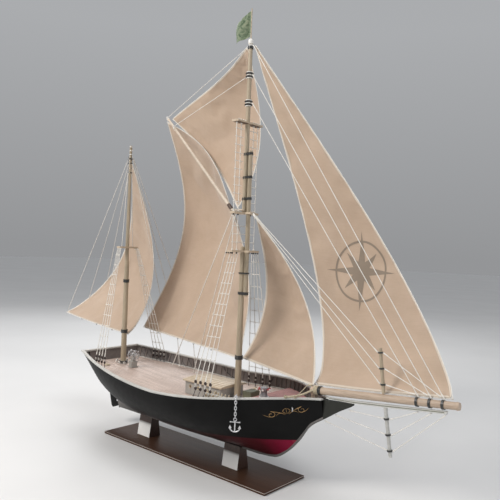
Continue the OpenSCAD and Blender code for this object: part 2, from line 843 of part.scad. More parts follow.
mizzen_stbd_feet = [for (i = [0:3]) [-174 + 8 * i, -72, 140]];
mizzen_port_feet = [for (i = [0:3]) [-190 + 8 * i, 66.2 + 1.9 * i, 132]];
mizzen_stbd_heads = [for (i = [0:3]) [mizzen_x - 4 + 3 * i, -18.5, 321.2]];
mizzen_port_heads = [for (i = [0:3]) [mizzen_x + 1 + 2.4 * i, 18.5, 321.2]];

module mizzen_shrouds() {
  color(cord_white) {
    ladder(mizzen_stbd_feet, mizzen_stbd_heads, [for (i = [0:9]) 0.08 + 0.095 * i], -1);
    ladder(mizzen_port_feet, mizzen_port_heads, [for (i = [0:9]) 0.08 + 0.095 * i], 1);
  }
}

deadeye_r = 2.4;

// A round block under a shroud, its partner below it, the lanyard between them and the
// strap that holds the lower one down
module deadeye_pair(foot, drop, hold) {
  upper = foot - [0, 0, deadeye_r + 0.2];
  lower = upper - [0, 0, drop];
  for (p = [upper, lower])
    translate(p) rotate([90, 0, 0])
      rotate_extrude($fn = 32) translate([0.9, -0.9]) square([deadeye_r - 0.9, 1.8]);
  twine(upper - [0, 0, 1.6], lower + [0, 0, 1.6]);
  twine(lower - [0, 0, 1.6], hold);
}

function on_rail(p) = [p.x, -rail_y(p.x) + 3, sheer(p.x) + 0.7];
function on_deck(p) =
  [p.x, sign(p.y) * min(abs(p.y), half(p.x, deck_z(p.x)) - skin - 2.5), deck_z(p.x) + 0.8];

module deadeyes() {
  color([0.1, 0.07, 0.06]) {
    for (p = main_stbd_feet) deadeye_pair(p, 9, on_rail(p));
    for (p = mizzen_stbd_feet) deadeye_pair(p, 7, on_deck(p));
    for (p = main_port_feet) deadeye_pair(p, 6, on_deck(p));
    for (p = mizzen_port_feet) deadeye_pair(p, 7, on_deck(p));
  }
}

jib_stay_ends = [[[92.6, 0, 546], 0.765], [[90.6, 0, 589], 0.845], [[90, 0, 633], 0.925]];
strut_stays = [0.2, 0.55, 0.9];

function sprit_top(t) = mix(sprit_heel, sprit_end, t) + [0, 0, 6];
function strut_side(t) = mix(strut_foot, strut_top, t) + [-2.6, 0, 0];

module stays() {
  color(cord_white) {
    for (s = jib_stay_ends) rope(s[0], sprit_top(s[1]));
    for (t = strut_stays) rope([102, 0, trestle_z - 1 + 3 * t], strut_side(t) - [1.6, 0, 0]);
    for (i = [0:2]) {
      t = [0.9, 0.55, 0.2][i];
      rope(mix(strut_foot, strut_top, t) + [4, 0, 0], sprit_top([0.925, 0.845, 0.765][i]) + [-4, 0, 2]);
    }
    for (i = [0:2]) {
      hull_end = [[277, 0, 127.5], [257, 0, 117], [241, 0, 106]][i];
      band_at = mix(striker_top, striker_end, [0.23, 0.55, 0.87][i]);
      rope(hull_end + [2, 0, -1], band_at + [-4, 0, 0]);
      rope(band_at + [4, 0, 0], [[370, 0, 144], [386, 0, 145.6], [403, 0, 147]][i]);
    }
  }
}

// ---- running rigging ----
backstay_feet = [[-131, 62, 112], [-73, 59.5, 108]];
// Places up the leech of the mizzen sail and of the mainsail where lines are made fast
mizzen_leech_at = [0.004, 0.108, 0.246];
main_leech_at = [0.293, 0.226, 0.165];

function off_sail(p) = p - [0, rope_d / 2 + slit, 0];

module running_rigging() {
  color(cord_white) {
    for (i = [0:1]) rope(backstay_feet[i], [82, -23 + 7.5 * i, trestle_z - 0.8]);
    for (i = [0:1])
      rope(mix(gaff_foot, gaff_tip, [0.98, 0.87][i]) + [0, -2, 2.6], [79.7, 0, [632, 587][i]]);
    for (i = [0:2]) {
      rope([mizzen_topmast_x - 4.5, 0, [487, 476, 459][i]],
           off_sail(sail_point(mizzen_corners, mizzen_bows, mizzen_skew, 1, mizzen_leech_at[i])));
      rope([mizzen_topmast_x + 3.3, 3.3, 486.5 - 2 * i],
           off_sail(sail_point(main_corners, main_bows, main_skew, 1, main_leech_at[i])));
    }
    for (side = [-1, 1])
      rope([mizzen_topmast_x, side * 4.5, 459], [mizzen_topmast_x, side * 12, 325 + slit]);
  }
}

stand_board();
cradle_aft();
cradle_fore();
keel_and_stem();
hull_bottom();
hull_topsides();
beak_knee();
sternpost();
hawse_rings();
deck();
foredeck();
bulwark_starboard();
bulwark_port();
transom();
cap_rail_starboard();
cap_rail_port();
taffrail();
bulwark_ribs();
deckhouse();
deckhouse_roof();
companion_hatch();
pin_rail();
wheel_pedestal();
steering_wheels();
rudder_gudgeons();
rudder();
capstan_spindle();
capstan();
capstan_bars();
chain_eyebolt();
anchor_chain();
anchor();
main_lower_mast();
main_topmast();
main_topgallant_mast();
main_tops();
main_bands();
flagstaff();
flag();
mizzen_lower_mast();
mizzen_topmast();
mizzen_top();
mizzen_bands();
gaff();
bowsprit();
under_spar();
dolphin_striker();
sprit_strut();
spar_bands();
mizzen_sail();
main_sail();
topsail();
staysail();
jib();
main_shrouds();
topmast_shrouds();
mizzen_shrouds();
deadeyes();
stays();
running_rigging();
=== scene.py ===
import itertools
import math

import bmesh
import bpy
import numpy as np
from mathutils import Matrix, Vector
from mathutils.bvhtree import BVHTree


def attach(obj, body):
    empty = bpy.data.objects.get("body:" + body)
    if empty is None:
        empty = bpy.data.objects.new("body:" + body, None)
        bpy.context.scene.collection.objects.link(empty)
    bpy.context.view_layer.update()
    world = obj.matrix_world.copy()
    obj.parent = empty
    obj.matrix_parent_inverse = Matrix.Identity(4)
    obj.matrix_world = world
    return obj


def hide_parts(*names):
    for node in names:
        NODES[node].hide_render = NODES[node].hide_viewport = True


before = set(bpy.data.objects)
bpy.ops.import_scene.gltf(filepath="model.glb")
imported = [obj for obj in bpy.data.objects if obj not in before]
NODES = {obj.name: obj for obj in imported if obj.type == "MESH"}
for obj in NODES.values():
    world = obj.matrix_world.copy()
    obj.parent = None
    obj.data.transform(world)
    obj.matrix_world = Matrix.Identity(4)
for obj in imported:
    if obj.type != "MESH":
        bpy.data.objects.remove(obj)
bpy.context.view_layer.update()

MM = 0.001
THREADS = 5200.0  # phase of the weave per metre of cloth, in radians
SHIP = "ship"


def V(*p):
    return np.array(p, float)


def mix(a, b, t):
    return a + (b - a) * t


def new_object(name, data):
    ob = bpy.data.objects.new(name, data)
    bpy.context.scene.collection.objects.link(ob)
    return ob


# ---------------- camera, lights, floor

def make_camera():
    data = bpy.data.cameras.new("camera")
    data.sensor_width = 36.0
    data.lens = 41.82
    data.clip_start = 0.01
    cam = new_object("camera", data)
    right = Vector((0.75466372, 0.65500267, 0.03813351))
    up = Vector((-0.0277075, -0.02625315, 0.99927127))
    back = right.cross(up).normalized()
    up = back.cross(right)
    rot = Matrix((right, up, back)).transposed()
    cam.matrix_world = Matrix.Translation((0.663222, -0.649934, 0.325583)) @ rot.to_4x4()
    bpy.context.scene.camera = cam


def area_light(name, at, target, size, watts, colour=(1, 1, 1)):
    data = bpy.data.lights.new(name, "AREA")
    data.shape = "DISK"
    data.size = size
    data.energy = watts
    data.color = colour
    ob = new_object(name, data)
    d = Vector(target) - Vector(at)
    ob.matrix_world = Matrix.Translation(at) @ d.to_track_quat("-Z", "Y").to_matrix().to_4x4()


make_camera()
area_light("key", (-0.45, -1.5, 1.45), (0.0, 0.0, 0.3), 0.8, 27, (1.0, 0.96, 0.91))
area_light("fill", (1.7, 0.2, 0.7), (0.1, 0.0, 0.3), 1.2, 5, (0.96, 0.98, 1.0))
area_light("rim", (-1.3, 1.1, 1.2), (0.0, 0.0, 0.3), 0.9, 8)
area_light("top", (-0.1, 0.1, 1.8), (0.0, 0.0, 0.1), 1.0, 9)
bpy.context.scene.view_settings.view_transform = "Standard"
world = bpy.data.worlds.new("studio")
bpy.context.scene.world = world
world.use_nodes = True
tree = world.node_tree
sky = tree.nodes.new("ShaderNodeValToRGB")
axis = tree.nodes.new("ShaderNodeSeparateXYZ")
backdrop = tree.nodes["Background"]
tree.links.new(tree.nodes.new("ShaderNodeTexCoord").outputs["Generated"], axis.inputs[0])
tree.links.new(axis.outputs[2], sky.inputs[0])
tree.links.new(sky.outputs[0], backdrop.inputs[0])
sky.color_ramp.elements[0].color = (0.66, 0.67, 0.69, 1)
sky.color_ramp.elements[1].position = 0.35
sky.color_ramp.elements[1].color = (0.90, 0.92, 0.95, 1)
backdrop.inputs[1].default_value = 0.45


# ---------------- materials

class Mat:
    """A small helper that builds one node material."""

    def __init__(self, name, rough=0.5, metal=0.0, **sockets):
        self.m = bpy.data.materials.new(name)
        self.m.use_nodes = True
        self.t = self.m.node_tree
        self.b = self.t.nodes["Principled BSDF"]
        self.b.inputs["Roughness"].default_value = rough
        self.b.inputs["Metallic"].default_value = metal
        for k, v in sockets.items():
            self.b.inputs[k.replace("_", " ")].default_value = v
        self.height = None

    def node(self, kind, **props):
        n = self.t.nodes.new("ShaderNode" + kind)
        for k, v in props.items():
            setattr(n, k, v)
        return n

    def put(self, value, socket):
        """Sets a socket to a number or a colour, or links it to another socket."""
        if isinstance(value, tuple):
            socket.default_value = (*value, 1)
        elif isinstance(value, (int, float)):
            socket.default_value = value
        else:
            self.t.links.new(value, socket)

    def split(self, vec):
        n = self.node("SeparateXYZ")
        self.put(vec, n.inputs[0])
        return n.outputs

    def coords(self, scale=(1, 1, 1), uv=None):
        c = self.node("UVMap", uv_map=uv).outputs[0] if uv else self.node("TexCoord").outputs["Object"]
        mp = self.node("Mapping")
        mp.inputs["Scale"].default_value = scale
        self.put(c, mp.inputs["Vector"])
        return mp.outputs[0]

    def noise(self, vec, scale, detail=4.0, rough=0.55, distort=0.0):
        n = self.node("TexNoise")
        for k, v in (("Scale", scale), ("Detail", detail), ("Roughness", rough), ("Distortion", distort),
                     ("Vector", vec)):
            self.put(v, n.inputs[k])
        return n.outputs["Fac"]

    def ramp(self, fac, stops):
        """A colour ramp; a stop's colour may be one number for a grey."""
        r = self.node("ValToRGB")
        els = r.color_ramp.elements
        while len(els) < len(stops):
            els.new(0.5)
        for e, (pos, col) in zip(els, stops):
            e.position = pos
            e.color = (*(col if isinstance(col, tuple) else (col,) * 3), 1)
        self.put(fac, r.inputs[0])
        return r.outputs[0]

    def math(self, op, a, b=None, c=None):
        n = self.node("Math", operation=op)
        for i, v in enumerate((a, b, c)):
            if v is not None:
                self.put(v, n.inputs[i])
        return n.outputs[0]

    def blend(self, a, b, fac, mode="MIX"):
        n = self.node("Mix", data_type="RGBA", blend_type=mode)
        for i, v in ((6, a), (7, b), (0, fac)):
            self.put(v, n.inputs[i])
        return n.outputs[2]

    def shade(self, a, b, fac):
        return self.blend(a, b, fac, "MULTIPLY")

    def colour(self, c):
        self.put(c, self.b.inputs["Base Color"])

    def rough(self, fac, span, low):
        self.put(self.math("MULTIPLY_ADD", fac, span, low), self.b.inputs["Roughness"])

    def bump(self, h, depth, strength=1.0):
        n = self.node("Bump")
        n.inputs["Strength"].default_value = strength
        n.inputs["Distance"].default_value = depth
        self.put(h, n.inputs["Height"])
        if self.height is not None:
            self.put(self.height, n.inputs["Normal"])
        self.height = n.outputs[0]
        self.put(self.height, self.b.inputs["Normal"])

    def edge(self, colour, worn, amount=0.6):
        """Rubbed edges: a paler colour where the surface turns sharply."""
        p = self.node("NewGeometry").outputs["Pointiness"]
        return self.blend(colour, worn, self.ramp(p, [(0.52, 0), (0.60, amount)]))


def paint(name, base, rough=0.45, vary=0.12, worn=None, scale=45, bump=0.00012, **kw):
    m = Mat(name, rough, **kw)
    c = m.coords()
    lo = tuple(max(0, q * (1 - vary)) for q in base)
    hi = tuple(q * (1 + vary) for q in base)
    col = m.ramp(m.noise(c, scale, 6, 0.6), [(0.3, lo), (0.7, hi)])
    fine = m.noise(c, 900, 3)
    col = m.blend(col, tuple(q * 0.8 for q in base), m.ramp(fine, [(0.55, 0), (0.8, 0.35)]))
    m.colour(m.edge(col, worn, 0.5) if worn else col)
    m.rough(m.noise(c, 130, 4), 0.22, rough - 0.11)
    m.bump(m.noise(c, 700, 3), bump, 0.6)
    return m.m


def bottom_paint():
    """Crimson at the forefoot, turning to a dull near-black maroon further aft; the darker maroon aft is
    painted shade.
    """
    m = Mat("bottom_crimson", 0.45, Specular_IOR_Level=0.12)
    c = m.coords()
    f = m.math("MULTIPLY_ADD", m.noise(c, 25, 4), 0.03, m.split(c)[0])
    # painted shade: along the hull the colour runs from near-black maroon aft to crimson at the forefoot
    col = m.ramp(f, [(0.10, (0.024, 0.010, 0.009)), (0.17, (0.065, 0.008, 0.012)),
                     (0.21, (0.26, 0.003, 0.036))])
    fine = m.ramp(m.noise(c, 700, 4), [(0.3, 0.8), (0.65, 1)])
    m.colour(m.edge(m.shade(col, fine, 0.7), (0.40, 0.08, 0.10), 0.4))
    m.rough(m.noise(c, 130, 4), 0.22, 0.34)
    m.bump(m.noise(c, 700, 3), 0.00012, 0.6)
    return m.m


def cradle_paint():
    """White on the sloping faces; the faces that look fore and aft are dark brown like the board, and the top
    of each block turns that dark brown as painted shade under the hull.
    """
    m = Mat("cradle_white", 0.38)
    c = m.coords()
    facing = m.split(m.node("TexCoord").outputs["Normal"])
    end = m.math("GREATER_THAN", m.math("ABSOLUTE", facing[0]), 0.7)
    white = m.ramp(m.noise(c, 60, 6), [(0.3, (0.92, 0.91, 0.89)), (0.7, (0.97, 0.96, 0.94))])
    # dark brown for the faces that look fore and aft, and for the painted shade at the top of each block
    noise_tone = m.ramp(m.noise(c, 260, 5), [(0.3, (0.040, 0.020, 0.014)), (0.7, (0.075, 0.038, 0.026))])
    # painted shade under the hull: above about 25 mm the blocks turn dark brown
    top = m.ramp(m.split(c)[2], [(0.023, 0), (0.027, 1)])
    m.colour(m.blend(m.blend(white, noise_tone, top), noise_tone, end))
    m.rough(m.noise(c, 130, 4), 0.2, 0.28)
    m.bump(m.noise(c, 600, 4), 0.0001, 0.6)
    return m.m


def transom_paint():
    """Black outside, brown lining on the face that looks forward over the deck."""
    m = Mat("transom_paint", 0.5, Specular_IOR_Level=0.2)
    c = m.coords()
    inside = m.math("GREATER_THAN", m.split(m.node("TexCoord").outputs["Normal"])[0], 0.7)
    black = m.ramp(m.noise(c, 60, 6), [(0.3, 0.0055), (0.7, 0.0085)])
    lining = m.ramp(m.noise(c, 160, 6), [(0.3, (0.145, 0.125, 0.12)), (0.7, (0.20, 0.175, 0.165))])
    m.colour(m.blend(black, lining, inside))
    m.rough(m.noise(c, 130, 4), 0.2, 0.4)
    m.bump(m.noise(c, 600, 4), 0.0001, 0.6)
    return m.m


def wood(name, light, dark, along="X", rough=0.5, **kw):
    m = Mat(name, rough, **kw)
    stretch = {"X": (0.05, 1, 1), "Y": (1, 0.05, 1), "Z": (1, 1, 0.05)}[along]
    c = m.coords(stretch)
    broad = m.noise(c, 160, 5, 0.6, 0.6)
    lines = m.noise(c, 900, 6, 0.7)
    mid = tuple(mix(a, b, 0.5) for a, b in zip(light, dark))
    col = m.ramp(broad, [(0.25, dark), (0.5, mid), (0.75, light)])
    pores = m.ramp(lines, [(0.35, 0.55), (0.55, 1)])
    col = m.shade(col, pores, 0.6)
    m.colour(m.edge(col, tuple(min(1, q * 1.25) for q in light), 0.4))
    m.rough(lines, 0.25, rough - 0.12)
    m.bump(lines, 0.00015, 0.5)
    return m.m


def planks(name, light, dark, seam, width=0.0052, length=0.085, rough=0.55):
    m = Mat(name, rough)
    c = m.coords()
    br = m.node("TexBrick", offset=0.37, offset_frequency=2)
    for k, v in (("Vector", c), ("Color1", light), ("Color2", dark), ("Mortar", seam), ("Scale", 1.0),
                 ("Mortar Size", width * 0.045), ("Mortar Smooth", 0.2), ("Brick Width", length),
                 ("Row Height", width)):
        m.put(v, br.inputs[k])
    g = m.noise(m.coords((0.05, 1, 1)), 700, 6, 0.7)
    col = m.shade(br.outputs["Color"], m.ramp(g, [(0.3, 0.72), (0.6, 1)]), 0.7)
    dirt = m.ramp(m.noise(c, 28, 5, 0.65), [(0.35, (0.86, 0.84, 0.82)), (0.65, 1)])
    m.colour(m.shade(col, dirt, 0.8))
    m.rough(g, 0.25, rough - 0.12)
    m.bump(m.math("SUBTRACT", 1.0, br.outputs["Fac"]), 0.0003, 0.8)
    m.bump(g, 0.0001, 0.5)
    return m.m


def cord_material(name, base):
    """Laid cord: UV x goes round it once and y runs along it in metres."""
    m = Mat(name, 0.82, Sheen_Weight=0.25, Sheen_Roughness=0.5)
    uv = m.split(m.node("UVMap", uv_map="UVMap").outputs[0])
    turn = m.math("MULTIPLY_ADD", uv[1], 420.0, uv[0])
    strand = m.math("ABSOLUTE", m.math("SINE", m.math("MULTIPLY", turn, math.pi * 3)))
    # painted shade in the grooves: the colour falls to six tenths of the base between the strands
    col = m.ramp(strand, [(0.05, tuple(q * 0.6 for q in base)), (0.45, base)])
    fuzz = m.noise(m.coords(), 2500, 3)
    m.colour(m.shade(col, m.ramp(fuzz, [(0.3, 0.82), (0.7, 1)]), 0.8))
    m.bump(strand, 0.0002, 0.8)
    m.bump(fuzz, 0.00006, 0.6)
    return m.m


def sail_material(name, base, hem):
    """Woven cloth with a paler doubled hem: the two edge maps hold distances in metres."""
    m = Mat(name, 0.85, Sheen_Weight=0.3, Sheen_Roughness=0.45)
    a, b = (m.split(m.node("UVMap", uv_map=uv).outputs[0]) for uv in ("EdgeA", "EdgeB"))
    edge = m.math("MINIMUM", m.math("MINIMUM", a[0], a[1]), m.math("MINIMUM", b[0], b[1]))
    c = m.coords()
    soft = m.ramp(m.noise(c, 11, 5, 0.6, 0.3), [(0.3, (0.86, 0.84, 0.81)), (0.7, 1)])
    noise_tone = m.ramp(m.noise(c, 60, 6, 0.7), [(0.35, (0.92, 0.9, 0.87)), (0.65, 1)])
    col = m.shade(m.shade(base, soft, 0.8), noise_tone, 0.6)
    lo = m.node("MapRange")
    for i, v in enumerate((edge, 0.0030, 0.0027)):
        m.put(v, lo.inputs[i])
    col = m.blend(col, hem, lo.outputs[0])
    seam = m.math("COMPARE", edge, 0.0029, 0.00022)
    col = m.blend(col, tuple(q * 0.55 for q in base), m.math("MULTIPLY", seam, 0.6))
    uv = m.split(m.node("UVMap", uv_map="UVMap").outputs[0])
    warp, weft = (m.math("SINE", m.math("MULTIPLY", uv[i], THREADS)) for i in (0, 1))
    weave = m.math("MULTIPLY_ADD", m.math("MULTIPLY", warp, weft), 0.5, 0.5)
    col = m.shade(col, m.ramp(weave, [(0.2, 0.9), (0.8, 1)]), 0.7)
    slub = m.noise(m.coords((0.04, 1, 1), uv="UVMap"), 900, 4)
    m.colour(m.shade(col, m.ramp(slub, [(0.35, 0.93), (0.6, 1)]), 0.6))
    m.bump(lo.outputs[0], 0.0004, 0.9)
    m.bump(weave, 0.00005, 0.7)
    m.bump(slub, 0.00008, 0.5)
    return m.m


def flag_material():
    """Thin cloth with a soft, abstract green mottle."""
    m = Mat("flag_cloth", 0.8, Sheen_Weight=0.25)
    c = m.coords(uv="UVMap")
    big = m.ramp(m.noise(c, 140, 4, 0.6, 1.2), [(0.35, (0.07, 0.12, 0.06)), (0.5, (0.185, 0.24, 0.15)),
                                                (0.65, (0.29, 0.33, 0.215))])
    fine = m.ramp(m.noise(c, 900, 4), [(0.3, 0.78), (0.7, 1)])
    m.colour(m.shade(big, fine, 0.8))
    m.bump(m.noise(c, 1800, 3), 0.00008, 0.6)
    return m.m


def metal(name, base, rough=0.35):
    m = Mat(name, rough, 1.0)
    c = m.coords()
    col = m.ramp(m.noise(c, 300, 5), [(0.3, tuple(q * 0.75 for q in base)), (0.7, base)])
    pits = m.ramp(m.noise(c, 1500, 3), [(0.6, 0), (0.8, 0.5)])
    m.colour(m.blend(col, tuple(q * 0.4 for q in base), pits))
    m.rough(m.noise(c, 800, 4), 0.3, rough - 0.1)
    m.bump(m.noise(c, 1400, 3), 0.00008, 0.5)
    return m.m


M = dict(
    board=wood("board_varnish", (0.070, 0.034, 0.020), (0.030, 0.014, 0.009), "X", 0.42,
               Specular_IOR_Level=0.08),
    board_edge=wood("board_edge", (0.50, 0.46, 0.42), (0.34, 0.30, 0.27), "X", 0.4),
    cradle=cradle_paint(),
    dark=paint("hull_black", (0.0045, 0.0045, 0.0045), 0.5, 0.35, (0.03, 0.03, 0.03), 30, 0.00010,
               Specular_IOR_Level=0.12),
    transom=transom_paint(),
    red=bottom_paint(),
    keel=paint("keel_grey", (0.085, 0.080, 0.075), 0.55, 0.2, (0.22, 0.21, 0.20), 60),
    beak=paint("beak_green", (0.012, 0.014, 0.011), 0.5, 0.3, (0.05, 0.05, 0.045), 40,
               Specular_IOR_Level=0.15),
    deck=planks("deck_planks", (0.72, 0.60, 0.54), (0.59, 0.48, 0.425), (0.22, 0.155, 0.125)),
    foredeck=planks("foredeck_planks", (0.46, 0.20, 0.18), (0.36, 0.15, 0.14), (0.12, 0.05, 0.05)),
    rail=wood("rail_white", (0.56, 0.555, 0.53), (0.43, 0.425, 0.40), "X", 0.45),
    inner=planks("bulwark_inner", (0.20, 0.175, 0.165), (0.145, 0.125, 0.12), (0.05, 0.042, 0.042),
                 0.004, 0.07),
    rib=wood("rib_wood", (0.25, 0.21, 0.195), (0.17, 0.14, 0.13), "Z", 0.55),
    house=paint("house_grey", (0.27, 0.26, 0.24), 0.5, 0.12, (0.5, 0.48, 0.45)),
    roof=wood("roof_tan", (0.58, 0.49, 0.37), (0.44, 0.35, 0.25), "X", 0.45),
    olive=paint("hatch_olive", (0.085, 0.09, 0.05), 0.5, 0.2, (0.2, 0.2, 0.14)),
    cream=wood("wheel_cream", (0.72, 0.62, 0.44), (0.55, 0.45, 0.30), "Z", 0.4),
    deadeye=wood("deadeye_dark", (0.045, 0.022, 0.017), (0.02, 0.01, 0.009), "Z", 0.4),
    spar_z=wood("mast_wood", (0.50, 0.415, 0.30), (0.35, 0.285, 0.20), "Z", 0.42),
    spar_x=wood("spar_wood", (0.54, 0.42, 0.32), (0.38, 0.28, 0.205), "X", 0.45),
    gaff=wood("gaff_wood", (0.66, 0.57, 0.47), (0.52, 0.43, 0.34), "X", 0.45),
    tops=wood("top_wood", (0.55, 0.45, 0.34), (0.38, 0.30, 0.21), "Y", 0.5),
    black=paint("band_black", (0.012, 0.012, 0.012), 0.38, 0.3, (0.06, 0.06, 0.06), 90),
    silver=metal("cast_silver", (0.78, 0.78, 0.80), 0.3),
    drum=paint("drum_grey", (0.22, 0.22, 0.23), 0.4, 0.15, (0.45, 0.45, 0.45)),
    bar=paint("bar_red", (0.42, 0.02, 0.03), 0.35, 0.15, (0.5, 0.2, 0.2)),
    gold=metal("gold_paint", (0.42, 0.27, 0.13), 0.42),
    white=paint("white_bead", (0.78, 0.76, 0.72), 0.4, 0.06, None, 90),
    cord=cord_material("cord_white", (0.93, 0.90, 0.84)),
    lash=cord_material("cord_tan", (0.62, 0.53, 0.38)),
    hole=paint("hole_black", (0.01, 0.01, 0.01), 0.8, 0.2),
    brass=metal("brass_trim", (0.72, 0.52, 0.25), 0.35),
    leather=paint("jaw_dark", (0.045, 0.025, 0.018), 0.5, 0.3, (0.16, 0.10, 0.07)),
    star=sail_material("star_cloth", (0.27, 0.215, 0.165), (0.27, 0.215, 0.165)),
    flag=flag_material(),
    sail=sail_material("sailcloth", (0.56, 0.43, 0.33), (0.69, 0.60, 0.50)),
)


# ---------------- mesh building

def unit(v):
    return np.asarray(v, float) / np.linalg.norm(v)


def circle(at, n, b, r, sides):
    """Points round a circle in the plane of n and b."""
    turns = (2 * math.pi * k / sides for k in range(sides))
    return [at + r * (math.cos(a) * n + math.sin(a) * b) for a in turns]


def frame_of(axis):
    """The axis as a unit vector, and two unit vectors across it."""
    t = unit(axis)
    n = unit(np.cross(t, (0, 0, 1) if abs(t[2]) < 0.9 else (0, 1, 0)))
    return t, n, np.cross(t, n)


def grid_faces(rows, cols, closed=False):
    """Quads between neighbouring points of equal rows; closed joins the two ends of each row as well."""
    return [[i * cols + j, i * cols + (j + 1) % cols, (i + 1) * cols + (j + 1) % cols, (i + 1) * cols + j]
            for i in range(rows - 1) for j in range(cols if closed else cols - 1)]


def frames_along(pts):
    """Tangent, normal and binormal at each point, without twist."""
    pts = [np.asarray(p, float) for p in pts]
    tan = []
    for i in range(len(pts)):
        a, b = pts[max(0, i - 1)], pts[min(len(pts) - 1, i + 1)]
        d = b - a
        tan.append(d / (np.linalg.norm(d) or 1))
    n = np.cross(tan[0], (0, 0, 1))
    if np.linalg.norm(n) < 0.2:
        n = np.cross(tan[0], (0, 1, 0))
    n /= np.linalg.norm(n)
    out = []
    for t in tan:
        n = n - t * (n @ t)
        n /= np.linalg.norm(n)
        out.append((t, n, np.cross(t, n)))
    return out


def finish_piece(me, name, mat, gone, body=SHIP, smooth=0.0):
    """Makes one visible piece: its sharp edges, material, body and the CAD nodes it replaces."""
    me.shade_smooth()
    if smooth:
        me.set_sharp_from_angle(angle=math.radians(smooth))
    me.materials.append(M[mat])
    ob = new_object(name, me)
    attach(ob, body)
    if gone:
        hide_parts(*gone)
    return ob


class Batch:
    """Collects shapes, given in millimetres, into one mesh object."""

    def __init__(self, name, mat, slot=None, gone=(), body=SHIP):
        self.name, self.mat, self.slot, self.gone, self.body = name, mat, slot, gone, body
        self.v, self.f, self.uv = [], [], []

    def add(self, verts, faces, uvs=None):
        k = len(self.v)
        self.v += [tuple(q) for q in verts]
        for i, face in enumerate(faces):
            self.f.append([k + j for j in face])
            self.uv.append(uvs[i] if uvs else [(0, 0)] * len(face))

    def skin(self, rows, closed=False, uvs=None):
        """A surface through equal rows of points; where it is closed round, its ends are capped."""
        n, last = len(rows[0]), len(rows) - 1
        faces = grid_faces(len(rows), n, closed)
        if closed:
            faces += [list(range(n))[::-1], [last * n + k for k in range(n)]]
            uvs = uvs and uvs + [[(0, 0)] * n] * 2
        self.add([p for r in rows for p in r], faces, uvs)

    def tube(self, pts, r, sides=8, r2=None):
        rows, uvs, run = [], [], 0.0
        for i, (p, (_, n, b)) in enumerate(zip(pts, frames_along(pts))):
            rr = r if r2 is None else mix(r, r2, i / (len(pts) - 1))
            rows.append(circle(np.asarray(p, float), n, b, rr, sides))
            if i:
                end = run + np.linalg.norm(np.subtract(p, pts[i - 1])) * MM
                uvs += [[(k / sides, run), ((k + 1) / sides, run), ((k + 1) / sides, end), (k / sides, end)]
                        for k in range(sides)]
                run = end
        self.skin(rows, True, uvs)

    def rope(self, a, b, r=0.55):
        self.tube([a, b], r)

    def lathe(self, profile, at=(0, 0, 0), axis=(0, 0, 1), sides=24):
        """profile: (radius, height) pairs, bottom to top, turned about the axis."""
        t, n, b = frame_of(axis)
        self.skin([circle(at + t * h, n, b, max(r, 1e-3), sides) for r, h in profile], True)

    def bead(self, at, r):
        arc = [math.pi * i / 10 for i in range(11)]
        self.lathe([(r * math.sin(a), -r * math.cos(a)) for a in arc], at, sides=14)

    def torus(self, at, axis, big, small, sides=24, ring=8):
        t, n, b = frame_of(axis)
        verts = []
        for out in circle(V(0, 0, 0), n, b, 1, sides):
            verts += circle(at + out * big, out, t, small, ring)
        self.add(verts, [[q % len(verts) for q in f] for f in grid_faces(sides + 1, ring, True)])

    def eye(self, at, axis=(0, 1, 0), big=0.9, small=0.32):
        """A small ring."""
        self.torus(at, axis, big, small, 14, 6)

    def box(self, lo, hi, cut=0.3):
        """A box with chamfered edges; each corner has one point on each of its three faces."""
        lo, hi = np.asarray(lo, float), np.asarray(hi, float)
        c = min(cut, *(0.3 * (hi - lo)))
        verts = [[(lo, hi)[s][i] + (0 if i == ax else (c, -c)[s]) for i, s in enumerate(corner)]
                 for corner in itertools.product((0, 1), repeat=3) for ax in range(3)]

        def at(ax, s, a, b, face):
            key = [a, b]
            key.insert(ax, s)
            return (key[0] * 4 + key[1] * 2 + key[2]) * 3 + face

        faces = []
        for ax in range(3):
            p, q = [i for i in range(3) if i != ax]
            faces += [[at(ax, s, a, b, ax) for a, b in ((0, 0), (1, 0), (1, 1), (0, 1))] for s in (0, 1)]
            faces += [[at(ax, 0, a, b, p), at(ax, 1, a, b, p), at(ax, 1, a, b, q), at(ax, 0, a, b, q)]
                      for a in (0, 1) for b in (0, 1)]
        self.add(verts, faces + [[3 * k, 3 * k + 1, 3 * k + 2] for k in range(8)])

    def make(self, smooth=40.0):
        me = bpy.data.meshes.new(self.name)
        me.from_pydata([(x * MM, y * MM, z * MM) for x, y, z in self.v], [], self.f)
        uv = me.uv_layers.new(name="UVMap")
        uv.data.foreach_set("uv", [c for face in self.uv for p in face for c in p])
        me.validate()
        bm = bmesh.new()
        bm.from_mesh(me)
        bmesh.ops.recalc_face_normals(bm, faces=bm.faces)
        bm.to_mesh(me)
        bm.free()
        return finish_piece(me, self.name, self.mat, self.gone, self.body, smooth)


def grid_mesh(name, rows):
    """A mesh through equal rows of points in millimetres."""
    me = bpy.data.meshes.new(name)
    verts = [tuple(np.asarray(p) * MM) for r in rows for p in r]
    me.from_pydata(verts, [], grid_faces(len(rows), len(rows[0])))
    return me


# ---------------- floor

def make_floor():
    me = bpy.data.meshes.new("floor")
    s = 12.0
    me.from_pydata([(-s, -s, 0), (s, -s, 0), (s, s, 0), (-s, s, 0)], [], [[0, 1, 2, 3]])
    m = Mat("floor_pale", 0.7)
    m.colour(m.ramp(m.noise(m.coords(), 3, 3), [(0.3, 0.72), (0.7, 0.76)]))
    me.materials.append(m.m)
    ob = new_object("floor", me)
    ob.location.z = -0.0002


make_floor()

# ---------------- hull shape, as in the CAD

